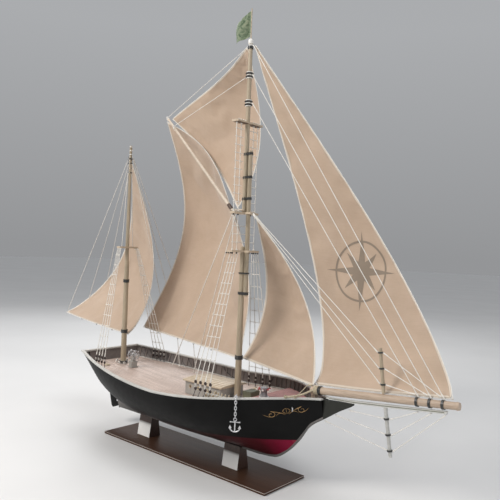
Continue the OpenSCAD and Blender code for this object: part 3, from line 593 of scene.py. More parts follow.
STERN_X, WIDE_X, FINE_X, END_X = -233.0, 16.0, 272.0, 240.0
WIDE_Y, STERN_Y, LOW_Z, STERN_RISE, BOW_RISE = 109.0, 61.0, 120.0, 18.0, 16.0
DROP, WATER_Z, KEEL_Z, KEEL_HALF, RAKE, RAKE_END, SKIN = 20.0, 70.0, 34.0, 2.5, 0.36, -173.0, 2.4
FOOT = [(-233, 52), (-190, 43), (-150, 37.5), (140, 37.5), (162, 40.5), (176, 48), (184, 54), (199, 70),
        (213, 88.5), (218, 95.5), (228, 103), (240, 110.5)]
FULL = [(-233, 1.25), (-160, 1.8), (-60, 2.6), (80, 2.6), (160, 1.9), (200, 1.4), (240, 1.1)]


def lookup(x, table):
    """A smooth curve through the table's points that never overshoots them."""
    xs, ys = [p[0] for p in table], [p[1] for p in table]
    x = min(max(x, xs[0]), xs[-1])
    i = min(max(np.searchsorted(xs, x) - 1, 0), len(xs) - 2)
    d = [(ys[k + 1] - ys[k]) / (xs[k + 1] - xs[k]) for k in range(len(xs) - 1)]

    def slope(k):
        if k == 0:
            return d[0]
        if k == len(xs) - 1:
            return d[-1]
        return 0.0 if d[k - 1] * d[k] <= 0 else 2 * d[k - 1] * d[k] / (d[k - 1] + d[k])

    h = xs[i + 1] - xs[i]
    t = (x - xs[i]) / h
    return (ys[i] * (1 + 2 * t) * (1 - t) ** 2 + slope(i) * h * t * (1 - t) ** 2
            + ys[i + 1] * t * t * (3 - 2 * t) + slope(i + 1) * h * t * t * (t - 1))


def rail_y(x):
    if x < WIDE_X:
        return WIDE_Y - (WIDE_Y - STERN_Y) * ((WIDE_X - x) / (WIDE_X - STERN_X)) ** 2
    return WIDE_Y / 2 * (1 + math.cos(math.pi * ((x - WIDE_X) / (FINE_X - WIDE_X)) ** 1.5))


def sheer(x):
    if x < WIDE_X:
        return LOW_Z + STERN_RISE * ((WIDE_X - x) / (WIDE_X - STERN_X)) ** 1.5
    return LOW_Z + BOW_RISE * math.sin(math.pi / 2 * ((x - WIDE_X) / (FINE_X - WIDE_X)) ** 1.3)


def deck_z(x):
    return sheer(x) - DROP


def foot_z(x):
    return lookup(x, FOOT)


def half(x, z):
    s = min(1, max(0, (z - foot_z(x)) / (sheer(x) - foot_z(x))))
    return KEEL_HALF + (rail_y(x) - KEEL_HALF) * (1 - (1 - s) ** lookup(x, FULL))


def shell_x(x, z):
    return x + RAKE * max(0, (RAKE_END - x) / (RAKE_END - STERN_X)) * (sheer(x) - z)


def transom_x(z):
    return STERN_X + RAKE * (sheer(STERN_X) - z)


XS = [mix(STERN_X, END_X, i / 150) for i in range(151)]


def band_shell(name, mat, low, high, rows, gone, inset=0.0):
    """Both sides of the hull between two height curves; the UVs run along the hull and up it."""
    bm = bmesh.new()
    for side in (-1, 1):
        prev = None
        for x in XS:
            lo, hi = low(x), max(high(x), low(x) + 0.02)
            ring = []
            for j in range(rows + 1):
                z = mix(lo, hi, j / rows)
                y = side * max(half(x, z) - inset, 0.3)
                ring.append(bm.verts.new((shell_x(x, z) * MM, y * MM, z * MM)))
            for j in range(rows if prev else 0):
                q = [prev[j], ring[j], ring[j + 1], prev[j + 1]]
                bm.faces.new(q if side < 0 else q[::-1])
            prev = ring
    bmesh.ops.delete(bm, geom=[f for f in bm.faces if f.calc_area() < 1e-11], context="FACES_ONLY")
    me = bpy.data.meshes.new(name)
    bm.to_mesh(me)
    bm.free()
    uv = me.uv_layers.new(name="UVMap")
    for loop in me.loops:
        co = me.vertices[loop.vertex_index].co
        x = min(max(co.x / MM, STERN_X), END_X)
        foot = foot_z(x)
        uv.data[loop.index].uv = (co.x, 0.09 * (co.z / MM - foot) / max(1, sheer(x) - foot))
    finish_piece(me, name, mat, gone)


def transom_plate(name, mat, low, high, ahead=0.02, slot=None):
    """A plate across the stern, this far ahead of the transom's outer face."""
    b = Batch(name, mat, slot)
    zs = [mix(low, high, j / 24) for j in range(25)]
    b.skin([[(transom_x(z) + ahead, side * half(STERN_X, z), z) for z in zs] for side in (-1, 1)])
    b.make()


def build_hull():
    def waterline(x):
        return max(WATER_Z, foot_z(x))

    def under_rail(x):
        return sheer(x) - SKIN

    stern_top, bow_top = under_rail(STERN_X), under_rail(END_X)
    band_shell("hull_side", "dark", waterline, under_rail, 26,
               ("hull_topsides", "bulwark_starboard", "bulwark_port"))
    band_shell("hull_under", "red", foot_z, waterline, 16, ("hull_bottom",))
    transom_plate("transom_upper", "dark", WATER_Z, stern_top)
    transom_plate("transom_lower", "red", foot_z(STERN_X), WATER_Z)
    transom_plate("transom_lining", "inner", deck_z(STERN_X), stern_top, 0.5, "rib_wood")
    bow = Batch("bow_closing_piece", "dark", "hull_dark")
    zs = [mix(foot_z(END_X), bow_top, j / 12) for j in range(13)]
    bow.skin([[(END_X, side * half(END_X, z), z) for z in zs] for side in (-1, 1)])
    bow.make()
    band_shell("bulwark_lining", "inner", lambda x: deck_z(x) - 0.5,
               lambda x: under_rail(x) + 0.2, 4, (), SKIN)
    # keel and stem as one smooth plate
    keel = Batch("keel_strip", "keel", "keel_grey", ("keel_and_stem",))
    low = [(132, KEEL_Z), (162, 37), (184, 51), (202, 70), (218, 92), (240, 107)]
    top = [(shell_x(x, foot_z(x)), foot_z(x) + 0.3) for x in XS]
    w, edge = KEEL_HALF, 0.7
    rows = []
    for t in (i / 120 for i in range(121)):
        x = mix(transom_x(KEEL_Z), END_X, t)
        z = KEEL_Z if x < low[0][0] else lookup(x, low)
        near = mix(top[0][0], top[-1][0], t)
        x0, z0 = min(top, key=lambda p: abs(p[0] - near))
        rows.append([(x, -w + edge, z), (x, -w, z + edge), (x0, -w, z0), (x0, w, z0), (x, w, z + edge),
                     (x, w - edge, z)])
    keel.skin(rows, True)
    keel.make(50)
    deck = Batch("deck_planking", "deck", "deck_planks", ("deck",))
    rows = []
    for x in XS:
        z = deck_z(x)
        y = half(x, z) - SKIN + 0.4
        rows.append([(shell_x(x, z) + (0.5 if x == STERN_X else 0), y * k / 6, z) for k in range(-6, 7)])
    deck.skin(rows)
    deck.make(60)
    # waterway plank along the foot of the bulwarks
    ways = Batch("waterways", "rail", "rail_white")
    for side in (-1, 1):
        ways.tube([(shell_x(x, deck_z(x)), side * (half(x, deck_z(x)) - SKIN - 1.0), deck_z(x) + 0.5)
                   for x in XS[2:-6]], 1.1, 6)
    ways.make(60)


def rail_section(x, side):
    """The cap rail's section: a strip with small chamfers, from 5 mm inside the rail line to 1 mm outside."""
    z, y, c = sheer(x), rail_y(x), 0.5
    out, inn, low = y + 1.0, max(1.5, y - 5.0), z - SKIN
    ring = [(inn + c, low), (out - c, low), (out, low + c), (out, z - c), (out - c, z), (inn + c, z),
            (inn, z - c), (inn, low + c)]
    return [(x, side * p, q) for p, q in ring]


def build_rails():
    for side, word in ((-1, "starboard"), (1, "port")):
        b = Batch("cap_rail_" + word + "_fine", "rail", "rail_white", ("cap_rail_" + word,))
        b.skin([rail_section(x, side) for x in XS], True)
        b.make(35)
    ribs = Batch("bulwark_stanchions", "rib", "rib_wood", ("bulwark_ribs",))
    for x in np.arange(-222.0, 205, 12.5):
        for side in (-1, 1):
            ribs.tube([(shell_x(x, z), side * (half(x, z) - SKIN - 0.6), z)
                       for z in (deck_z(x) + 0.2, sheer(x) - SKIN)], 0.95, 4)
    ribs.make(30)


def build_stand():
    b = Batch("stand_top", "board", "board_wood", ("stand_board",))
    b.box((-180, -45.5, 0), (180, 45.5, 3.6), 0.5)
    b.make(20)
    e = Batch("stand_edge_line", "board_edge", "board_wood")
    low, high, out = 2.75, 3.45, 0.12
    for s in (-1, 1):
        x, y = s * 180.12, s * 45.62
        e.box((-179.92, y - out, low), (179.92, y + out, high), 0.05)
        e.box((x - out, -45.52, low), (x + out, 45.52, high), 0.05)
    e.make(20)


build_hull()
build_rails()
build_stand()


# ---------------- sails

def sail_point(c, b, skew, u, v):
    """u runs aft along the foot and v up the sail; c are its corners, b its bellies and skew their height."""
    sv, su = math.sin(math.pi * v ** mix(*skew, u)), math.sin(math.pi * u)
    p = mix(mix(V(*c[0]), V(*c[1]), u), mix(V(*c[2]), V(*c[3]), u), v)
    out = mix(b[0], b[1], u) * sv + mix(b[2], b[3], v) * su + b[6] * su * sv
    return p + V(0, out, mix(b[4], b[5], v) * su)


# foot at the tack and clew, then head at the throat and peak, with the sideways bellies of the luff,
# leech, foot and head, the upward round of the foot and head, and the belly of the middle
SAILS = dict(
    mizzen_sail=([(-192, 6, 166), (-422, 20, 183), (-198, 6, 474), (-201, 6, 476)],
                 [55, 75, 4, 0, -3, 0, 6], (0.76, 0.76)),
    main_sail=([(79, 8, 162), (-228, 70, 170), (50, 8, 388), (-152, 45, 555)],
               [32, 71, 11, 23, -3, 21, 14], (1.07, 1.04)),
    topsail=([(57, 15, 391), (-146, 52, 561), (74, 7, 632), (70, 7, 635)],
             [42, 11, 22, 0, 3, 0, 10], (0.9, 1.4)),
    staysail=([(219, 2, 147), (81, 12, 163), (103, 8, 377), (100, 8, 379)],
              [48, 42, 0, 0, 0, 0, 8], (0.88, 0.82)),
    jib=([(409, 3, 166), (216, 10, 147), (92, 4, 632), (89, 4, 634)],
         [50, 50, -2, 0, -1, 0, 10], (0.66, 0.59)),
)
CLOTH = {}


def settle(rows, held, frames, cap, gravity, **settings):
    """A short cloth run with the held points fixed; no point moves further than the cap, in mm."""
    base = np.array([p for r in rows for p in r], float)
    ob = new_object("cloth_run", grid_mesh("cloth_run", rows))
    ob.vertex_groups.new(name="pin").add(held, 1.0, "REPLACE")
    cl = ob.modifiers.new("Cloth", "CLOTH")
    cl.settings.vertex_group_mass = "pin"
    for k, v in settings.items():
        setattr(cl.settings, k, v)
    cl.settings.effector_weights.gravity = gravity
    cl.collision_settings.use_collision = False
    cl.point_cache.frame_end = frames
    for f in range(1, frames + 1):
        bpy.context.scene.frame_set(f)
    ev = ob.evaluated_get(bpy.context.evaluated_depsgraph_get())
    me = ev.to_mesh()
    shift = np.array([v.co for v in me.vertices]) / MM - base
    ev.to_mesh_clear()
    bpy.context.scene.frame_set(1)
    bpy.data.objects.remove(ob)
    size = np.linalg.norm(shift, axis=1)
    base += shift * np.where(size > cap, cap / np.maximum(size, 1e-6), 1.0)[:, None]
    return base.reshape(len(rows), len(rows[0]), 3)


def thicken(ob, thickness):
    thick = ob.modifiers.new("thick", "SOLIDIFY")
    thick.thickness, thick.offset = thickness, 0
    sub = ob.modifiers.new("sub", "SUBSURF")
    sub.levels = sub.render_levels = 1
    sub.boundary_smooth = "PRESERVE_CORNERS"


def build_sail(name, nu=36, nv=46):
    rows = [[sail_point(*SAILS[name], i / nu, j / nv) + V(0, 0.6, 0) for i in range(nu + 1)]
            for j in range(nv + 1)]
    edges = [j * (nu + 1) + i for j in range(nv + 1) for i in range(nu + 1) if i in (0, nu) or j in (0, nv)]
    pts = settle(rows, edges, 24, 4.0, 0, quality=6, mass=0.12, tension_stiffness=22,
                 compression_stiffness=22, shear_stiffness=10, bending_stiffness=0.9, air_damping=4,
                 shrink_min=-0.012)
    CLOTH[name] = pts
    me = grid_mesh(name + "_cloth", pts)
    across = np.zeros((nv + 1, nu + 1))
    up = np.zeros((nv + 1, nu + 1))
    across[:, 1:] = np.cumsum(np.linalg.norm(np.diff(pts, axis=1), axis=2), axis=1)
    up[1:, :] = np.cumsum(np.linalg.norm(np.diff(pts, axis=0), axis=2), axis=0)
    maps = [me.uv_layers.new(name=n) for n in ("UVMap", "EdgeA", "EdgeB")]
    for loop in me.loops:
        j, i = divmod(loop.vertex_index, nu + 1)
        a, w, h, t = across[j, i], across[j, -1], up[j, i], up[-1, i]
        for layer, (p, q) in zip(maps, ((a - across[j, nu // 2], h), (a, w - a), (h, t - h))):
            layer.data[loop.index].uv = (p * MM, q * MM)
    ob = finish_piece(me, name + "_cloth", "sail", (name,))
    thicken(ob, 0.0007)
    hem = Batch(name + "_bolt_rope", "cord", "cord")
    hem.tube([*pts[0], *pts[1:, nu], *pts[nv, nu - 1::-1], *pts[nv - 1::-1, 0]], 0.62, 6)
    rope = hem.make(60)


for sail_name in SAILS:
    build_sail(sail_name)


JIB_FACES = BVHTree.FromObject(bpy.data.objects["jib_cloth"], bpy.context.evaluated_depsgraph_get())


def on_jib(x, z, face):
    """Where a line across the ship at x and z meets the jib, just off the cloth; face -1 is starboard."""
    hit, normal, _, _ = JIB_FACES.ray_cast(Vector((x * MM, face, z * MM)), Vector((0, -face, 0)))
    out = V(*normal) * math.copysign(0.25, normal.y * face)
    return V(*hit) / MM + out


def build_star():
    """A plain eight-pointed compass star and ring, lying just off both faces of the jib."""
    cx, cz = 250.0, 303.0

    def at(r, a, face):
        return on_jib(cx + r * math.sin(a), cz + r * math.cos(a), face)

    for face, word in ((-1, "outer"), (1, "inner")):
        b = Batch("jib_star_" + word, "star", "sailcloth")
        tips = []
        for k in range(16):
            r = 14.0 if k % 2 else 36.0 if k % 4 else 56.0
            tips.append((cx + r * math.sin(math.pi * k / 8), cz + r * math.cos(math.pi * k / 8)))
        for p, q in zip(tips, tips[1:] + tips[:1]):
            rim = [(mix(p[0], q[0], j / 8), mix(p[1], q[1], j / 8)) for j in range(9)]
            b.skin([[on_jib(mix(cx, x, t), mix(cz, z, t), face) for x, z in rim]
                    for t in (i / 20 for i in range(21))])
        b.make(0)
        ring = Batch("jib_ring_" + word, "star", "sailcloth")
        ring.skin([[at(r, math.pi * k / 54, face) for r in (40.0, 41.5, 43.0)] for k in range(109)])
        ring.make(0)


build_star()


def build_flag(nu=26, nv=18):
    rows = []
    for v in (j / nv for j in range(nv + 1)):
        row = []
        for u in (i / nu for i in range(nu + 1)):
            x = 83.9 - 31.0 * u + 1.2 * math.sin(5 * v) * u
            y = 4.0 * math.sin(math.radians(400 * u)) * u ** 0.4 + 1.5 * math.sin(4 * v + 3 * u) * u
            low, high = 650 - 6 * u, 686 - 14 * u
            row.append((x, y, mix(low, high, v) + 1.2 * math.sin(9 * u) * u))
        rows.append(row)
    hoist = [j * (nu + 1) for j in range(nv + 1)]
    pts = settle(rows, hoist, 8, 3.0, 0.04, quality=8, mass=0.1, tension_stiffness=15,
                 compression_stiffness=15, bending_stiffness=0.2)
    me = grid_mesh("flag_cloth", pts)
    uv = me.uv_layers.new(name="UVMap")
    for loop in me.loops:
        j, i = divmod(loop.vertex_index, nu + 1)
        uv.data[loop.index].uv = (i / nu * 0.031, j / nv * 0.034)
    ob = finish_piece(me, "flag_cloth", "flag", ("flag",))
    thicken(ob, 0.0004)


build_flag()

# ---------------- rigging

TOP_Z, TRESTLE_Z, UPPER_Z, MAIN_X, TOPMAST_X, MIZZEN_X = 323.0, 380.0, 515.0, 85.0, 93.0, -195.0
# each net's four feet and heads, its side, and how far its lower deadeyes lie below the upper ones
FEET = dict(
    main_stbd=([V(92.5 + 7.4 * i, -95 + 2 * i, 147.2 - 0.5 * i) for i in range(4)],
               [V(79.8 + 3.4 * i, -22 + 1.8 * i, 322.2) for i in range(4)], -1, 9),
    main_port=([V(30 + 15 * i, 89, 118) for i in range(4)],
               [V(78 + 4 * i, 28.5, 322.2) for i in range(4)], 1, 6),
    mizzen_stbd=([V(-174 + 8 * i, -72, 140) for i in range(4)],
                 [V(MIZZEN_X - 4 + 3 * i, -18.5, 321.2) for i in range(4)], -1, 7),
    mizzen_port=([V(-190 + 8 * i, 66.2 + 1.9 * i, 132) for i in range(4)],
                 [V(MIZZEN_X + 1 + 2.4 * i, 18.5, 321.2) for i in range(4)], 1, 7),
)
DEADEYE_R = 2.4
ARM_Y = (-24, -14, 14, 24)
KNOT = (-0.7, -0.3, 0.3, 0.7)
GAFF_FOOT, GAFF_TIP = V(60, 0, 387.5), V(-147, 41, 561)
SPRIT_HEEL, SPRIT_TIP = V(219, 0, 142), V(416, 0, 160)
# where the stays are made fast, as shares of the bowsprit, strut and striker, and on the light spar
SPRIT_T, STRUT_T, STRIKER_T = (0.765, 0.845, 0.925), (0.2, 0.55, 0.9), (0.23, 0.55, 0.87)
SPAR_EYES = ((370, 0, 144), (386, 0, 145.6), (403, 0, 147))


def build_ladders():
    for mast, node in (("main", "main_shrouds"), ("mizzen", "mizzen_shrouds")):
        b = Batch(mast + "_shroud_net", "cord", "cord", (node,))
        for side in ("stbd", "port"):
            feet, heads, s, _ = FEET[mast + "_" + side]
            for f, h in zip(feet, heads):
                b.rope(f, h)
                b.tube([mix(f, h, t) for t in (0.0, 0.006, 0.024, 0.03)], 0.8)
            away = V(0, s * 0.72, 0)
            first, step = (0.16, 0.084) if (mast, side) == ("main", "stbd") else (0.08, 0.095)
            for t in (first + step * i for i in range(10)):
                p = mix(feet[0], heads[0], t) + away - V(1.2, 0, 0)
                q = mix(feet[3], heads[3], t) + away + V(1.2, 0, 0)
                b.tube([mix(p, q, k / 12) - V(0, 0, 0.25 * abs(math.sin(math.pi * k / 4)))
                        for k in range(13)], 0.5, 6)
                for f, h in zip(feet, heads):
                    b.tube([mix(f, h, t) + away * 0.4 + unit(h - f) * k for k in KNOT], 0.98)
        b.make(60)
    b = Batch("topmast_shroud_net", "cord", "cord", ("topmast_shrouds",))
    for y in ARM_Y:
        b.rope((MAIN_X, y, TOP_Z + 3), (MAIN_X, y, UPPER_Z))
    for i in [k for k in range(1, 16) if k != 4]:
        z = TOP_Z + 3 + 12 * i
        for side in (-1, 1):
            b.rope((MAIN_X - 0.8, side * (0 if i < 4 else 7.6), z), (MAIN_X - 0.8, side * 25.5, z), 0.5)
            for y in (14, 24):
                b.tube([(MAIN_X - 0.2, side * y, z + k) for k in KNOT], 0.95)
    b.make(60)


def build_deadeyes():
    disc = Batch("deadeye_blocks", "deadeye", "hull_dark", ("deadeyes",))
    # black plugs in the deadeyes' holes: painted shade that fills the openings
    dark = Batch("deadeye_holes", "hole", "band_black")
    line = Batch("deadeye_lanyards", "cord", "cord")
    iron = Batch("deadeye_strops", "black", "band_black")
    side_rim = [(1.5, -0.9), (2.1, -0.75), (2.35, -0.35), (2.15, 0), (2.35, 0.35), (2.1, 0.75), (1.5, 0.9)]
    for feet, _, s, drop in FEET.values():
        for f in feet:
            up = f - V(0, 0, DEADEYE_R + 0.2)
            lo = up - V(0, 0, drop)
            for c, turn in ((up, -90), (lo, 90)):
                disc.lathe(side_rim, c, (0, 1, 0), 20)
                iron.torus(c, (0, 1, 0), 2.3, 0.28, 24, 6)
                for a in (math.radians(turn + 120 * k) for k in range(3)):
                    h = c + V(0.95 * math.cos(a), 0, 0.95 * math.sin(a))
                    dark.lathe([(0.42, -0.97), (0.42, 0.97)], h, (0, 1, 0), 10)
            for dx in (-0.9, 0.0, 0.9):
                for dy in (-1.0, 1.0):
                    line.rope(up + V(dx, dy, -1.7), lo + V(-dx * 0.6, dy, 1.7), 0.3)
            x, y = f[0], abs(f[1])
            if s < 0 and x > 0:
                hold = V(x, s * (rail_y(x) - 3.0), sheer(x) + 0.3)
            else:
                hold = V(x, s * min(y, half(x, deck_z(x)) - SKIN - 2.5), deck_z(x) + 0.4)
            iron.rope(lo - V(0, 0, 2.4), hold, 0.4)
            iron.eye(hold + V(0, 0, 0.3), (0, 0, 1), small=0.3)
    for b in (disc, dark, line, iron):
        b.make(50)


def sprit(t, up=6.0):
    return mix(SPRIT_HEEL, SPRIT_TIP, t) + V(0, 0, up)


def strut(t):
    return mix(V(325, 0, 157), V(318, 0, 212), t)


def striker(t):
    return mix(V(328, 0, 140.5), V(337, 0, 82), t)


def build_lines():
    b = Batch("standing_stays", "cord", "cord", ("stays",))
    ends = [(a, sprit(t)) for a, t in zip((V(92.6, 0, 546), V(90.6, 0, 589), V(90, 0, 633)), SPRIT_T)]
    ends += [(V(102, 0, TRESTLE_Z - 1 + 3 * t), strut(t) - V(4.2, 0, 0)) for t in STRUT_T]
    ends += [(strut(t) + V(4, 0, 0), sprit(q) + V(-4, 0, 2)) for t, q in zip(STRUT_T[::-1], SPRIT_T[::-1])]
    for h, t, e in zip(((277, 127.5), (257, 117), (241, 106)), STRIKER_T, SPAR_EYES):
        ends += [(V(h[0] + 2, 0, h[1] - 1), striker(t) + V(-4, 0, 0)), (striker(t) + V(4, 0, 0), V(*e))]
    for p, q in ends:
        b.rope(p, q)
        for e, s in ((p, 1), (q, -1)):
            b.tube([e + unit(q - p) * s * k for k in (0.2, 0.6, 6.0, 6.6)], 0.85)
    b.make(60)
    eyes = Batch("stay_eyes", "white", "rail_white")
    for at, ts, gaps in ((striker, STRIKER_T, (-3.3, 3.3)), (strut, STRUT_T, (-3.4, 3.2))):
        for t in ts:
            for dx in gaps:
                eyes.eye(at(t) + V(dx, 0, 0))
    for t in SPRIT_T:
        eyes.eye(sprit(t, 5.8), big=1.0, small=0.35)
    for x, y, z in SPAR_EYES:
        eyes.eye((x, y, z + 0.6))
    for p in ((278, 0, 127), (258, 0, 116.3), (242, 0, 105.3)):
        eyes.eye(p)
    eyes.make(60)
    r = Batch("running_lines", "cord", "cord", ("running_rigging",))
    for i, f in enumerate((V(-131, 62, 112), V(-73, 59.5, 108))):
        r.rope(f, (82, -23 + 7.5 * i, TRESTLE_Z - 0.8), 0.7)
    for t, z in ((0.98, 632), (0.87, 587)):
        r.rope(mix(GAFF_FOOT, GAFF_TIP, t) + V(0, -2, 2.6), (79.7, 0, z), 0.5)
    for i, (z, leech, main) in enumerate(((487, 0.004, 0.293), (476, 0.108, 0.226), (459, 0.246, 0.165))):
        for a, sail, v in (((MIZZEN_X - 5.5, 0, z), "mizzen_sail", leech),
                           ((MIZZEN_X + 2.3, 3.3, 486.5 - 2 * i), "main_sail", main)):
            r.rope(a, sail_point(*SAILS[sail], 1, v) - V(0, 0.5, 0), 0.5)
    for s in (-1, 1):
        r.rope((MIZZEN_X - 1, s * 4.5, 459), (MIZZEN_X - 1, s * 12, 325.05), 0.5)
    r.make(60)


build_ladders()
build_deadeyes()
build_lines()


def foot_point(name, u):
    pts = CLOTH[name]
    fi = u * (pts.shape[1] - 1)
    i = min(int(fi), pts.shape[1] - 2)
    return mix(pts[0, i], pts[0, i + 1], fi - i)


def build_sail_fittings():
    hooks = Batch("sail_hooks", "black", "band_black")
    lines = Batch("sheet_tackles", "cord", "cord")
    beads = Batch("tackle_beads", "white", "rail_white")
    for name, spots in (("main_sail", (0.84, 0.632, 0.466, 0.28)), ("mizzen_sail", (0.74, 0.5, 0.25))):
        for u in spots:
            hooks.eye(foot_point(name, u) - V(0, 0, 1.0), (1, 0, 0), 1.2, 0.35)
    for u, x, y in ((0.632, -118, 68), (0.466, -68, 62)):
        top = foot_point("main_sail", u) - V(0, 0, 2.2)
        low = V(x, y, deck_z(x) + 0.4)
        mid = mix(top, low, 0.42)
        for k in (-1, 1):
            lines.rope(top + V(0.5 * k, 0, 0), mid + V(0.9 * k, 0, 0), 0.3)
            lines.rope(mid + V(0.9 * k, 0, 0), low + V(0.7 * k, 0, 0), 0.3)
        beads.bead(mid, 2.0)
        beads.bead(mix(top, low, 0.9), 1.6)
    for name in ("staysail", "jib"):
        for u in (0.0, 1.0):
            beads.torus(foot_point(name, u) + V(0, 0, 0.6), (0, 1, 0), 1.3, 0.4, 16, 6)
    # hanks that hold the luffs to the masts
    hoops = Batch("luff_hoops", "cord", "cord")
    for name in ("mizzen_sail", "main_sail"):
        luff = CLOTH[name][:, 0]
        for k in range(9):
            j = round((0.04 + 0.92 * k / 8) * (len(luff) - 1))
            hoops.torus(luff[j], luff[min(j + 1, len(luff) - 1)] - luff[max(j - 1, 0)], 1.0, 0.3, 12, 6)
    for b in (hooks, lines, beads, hoops):
        b.make(50)


build_sail_fittings()


# ---------------- spars and bands

def build_spars():
    along = unit(GAFF_TIP - GAFF_FOOT)
    g = Batch("gaff_spar", "gaff", "spar_tan", ("gaff",))
    g.tube([mix(GAFF_FOOT, GAFF_TIP, t) for t in (0.0, 0.25, 0.5, 0.75, 0.985, 1.0)], 2.6, 20, 1.8)
    arms = Batch("gaff_jaws", "gaff", "spar_tan")
    for s in (-1, 1):
        arms.tube([GAFF_FOOT + V(0, s * 1.2, 0), V(70, s * 4.1, 387.0), V(80, s * 5.4, 386.5),
                   V(89, s * 6.0, 386.2)], 1.3, 10)
    jaw = Batch("gaff_sleeve", "leather", "band_black")
    jaw.lathe([(2.7, 0.5), (3.0, 1.2), (3.0, 12.4), (2.7, 13.0)], GAFF_FOOT, along)
    w = Batch("gaff_blocks", "white", "rail_white")
    for t in (0.985, 0.87):
        c = mix(GAFF_FOOT, GAFF_TIP, t)
        w.lathe([(2.1, -1.4), (2.7, -0.9), (2.7, 0.9), (2.1, 1.4)], c, along, 20)
        w.bead(c + V(0, -2.2, 2.4), 1.5)
        w.bead(c + V(0, 0.6, -3.0), 1.3)
    for b in (g, arms, jaw, w):
        b.make(50)


def mast_r(z):
    return 3.7 - 0.5 * (z - 383.2) / 248.8


def build_mast_details():
    black = Batch("mast_black_parts", "black", "band_black")
    white = Batch("mast_white_parts", "white", "rail_white")
    dark = Batch("top_underside", "leather", "band_black")
    lash = Batch("pole_seizings", "black", "band_black")
    top = Batch("upper_top_battens", "tops", "spar_tan")
    coat = Batch("mast_coats", "house", "house_grey")
    for z in (546.5, 588.5):
        r = mast_r(z)
        for dz in (-2.5, 2.5):
            for p in circle(V(MAIN_X, 0, z + dz), V(1, 0, 0), V(0, 1, 0), r + 1.9, 10):
                black.bead(p, 1.05)
        for dz in (-4.4, 0.0, 4.4):
            white.torus((MAIN_X, 0, z + dz), (0, 0, 1), r + 0.8, 0.8, 30, 8)
    white.lathe([(2.6, 632.05), (2.7, 633.9), (3.4, 634.6), (3.85, 635.6), (3.85, 640.4), (3.4, 641.4),
                 (2.6, 642.7), (1.0, 642.9)], (MAIN_X, 0, 0), sides=28)
    # racking seizings that hold the two upper poles together
    for z in (403, 435, 470):
        for k in range(4):
            pts = []
            for a in (math.pi * i / 14 for i in range(29)):
                fore = math.cos(a) > 0
                r = 3.6 if fore else mast_r(z) + 0.5
                pts.append(((TOPMAST_X if fore else MAIN_X) + r * math.cos(a),
                            (r if abs(math.cos(a)) > 0.02 else 3.4) * math.sin(a),
                            z - 1.6 + 1.05 * k + 0.6 * math.cos(a)))
            lash.tube(pts, 0.42, 6)
    # the upper crosstree: end battens, dark underside and the beads its lines run through
    for side in (-1, 1):
        y, (y0, y1) = side * 27.2, sorted((side * 4.2, side * 26.0))
        top.box((MAIN_X - 6.3, y - 0.9, UPPER_Z - 0.4), (MAIN_X + 6.3, y + 0.9, UPPER_Z + 2.9), 0.3)
        dark.box((MAIN_X - 5.6, y0, UPPER_Z - 0.5), (MAIN_X + 5.6, y1, UPPER_Z - 0.05), 0.1)
        for y in (9, 14, 19, 24):
            white.bead((MAIN_X + 3.6, side * y, UPPER_Z + 3.3), 1.15)
    # beads along the arms of the tops, where the shrouds are set up
    for y in ARM_Y:
        for z in (TOP_Z, TRESTLE_Z):
            white.bead((MAIN_X, y, z + 4.0), 1.5)
            black.bead((MAIN_X, y, z - 1.1), 1.3)
        white.bead((MAIN_X, y, UPPER_Z - 1.4), 1.4)
    for side in (-1, 1):
        for i in range(4):
            black.bead((78 + 4 * i, side * 28.5, TOP_Z - 1.2), 1.2)
            white.bead((MIZZEN_X - 3 + 2.8 * i, side * 18.5, TOP_Z - 1.6), 1.0)
    # crown of the mizzen mast
    for z in (459, 467, 476, 481.5, 487):
        ring = circle(V(MIZZEN_X - 1, 0, z), V(1, 0, 0), V(0, 1, 0), 4.5 - (z - 299) / 189.0, 6)
        for k, p in enumerate(ring):
            (white if k % 2 else black).bead(p, 0.85)
    prong = 1.6 * math.sqrt(0.5)
    for x, y in itertools.product((-prong, prong), repeat=2):
        for z in (492, 499, 506):
            white.bead((MIZZEN_X - 1 + x, y, z), 1.15)
    for x, z, r, n in ((MAIN_X, 166, 5.0, 3), (MIZZEN_X, 172, 4.9, 3), (MIZZEN_X, 263, 4.5, 2)):
        for k in range(n):
            black.torus((x, 0, z - 2.4 + 4.8 * k / (n - 1)), (0, 0, 1), r + 0.9, 0.42, 36, 6)
    # painted mast coats where the masts meet the deck
    for x in (MAIN_X, MIZZEN_X):
        coat.lathe([(7.4, -0.4), (7.4, 0.8), (6.2, 2.0), (5.6, 4.2), (5.1, 4.6)], (x, 0, deck_z(x)),
                   sides=36)
    for b, smooth in ((lash, 60), (top, 40), (dark, 40), (black, 45), (white, 45), (coat, 40)):
        b.make(smooth)


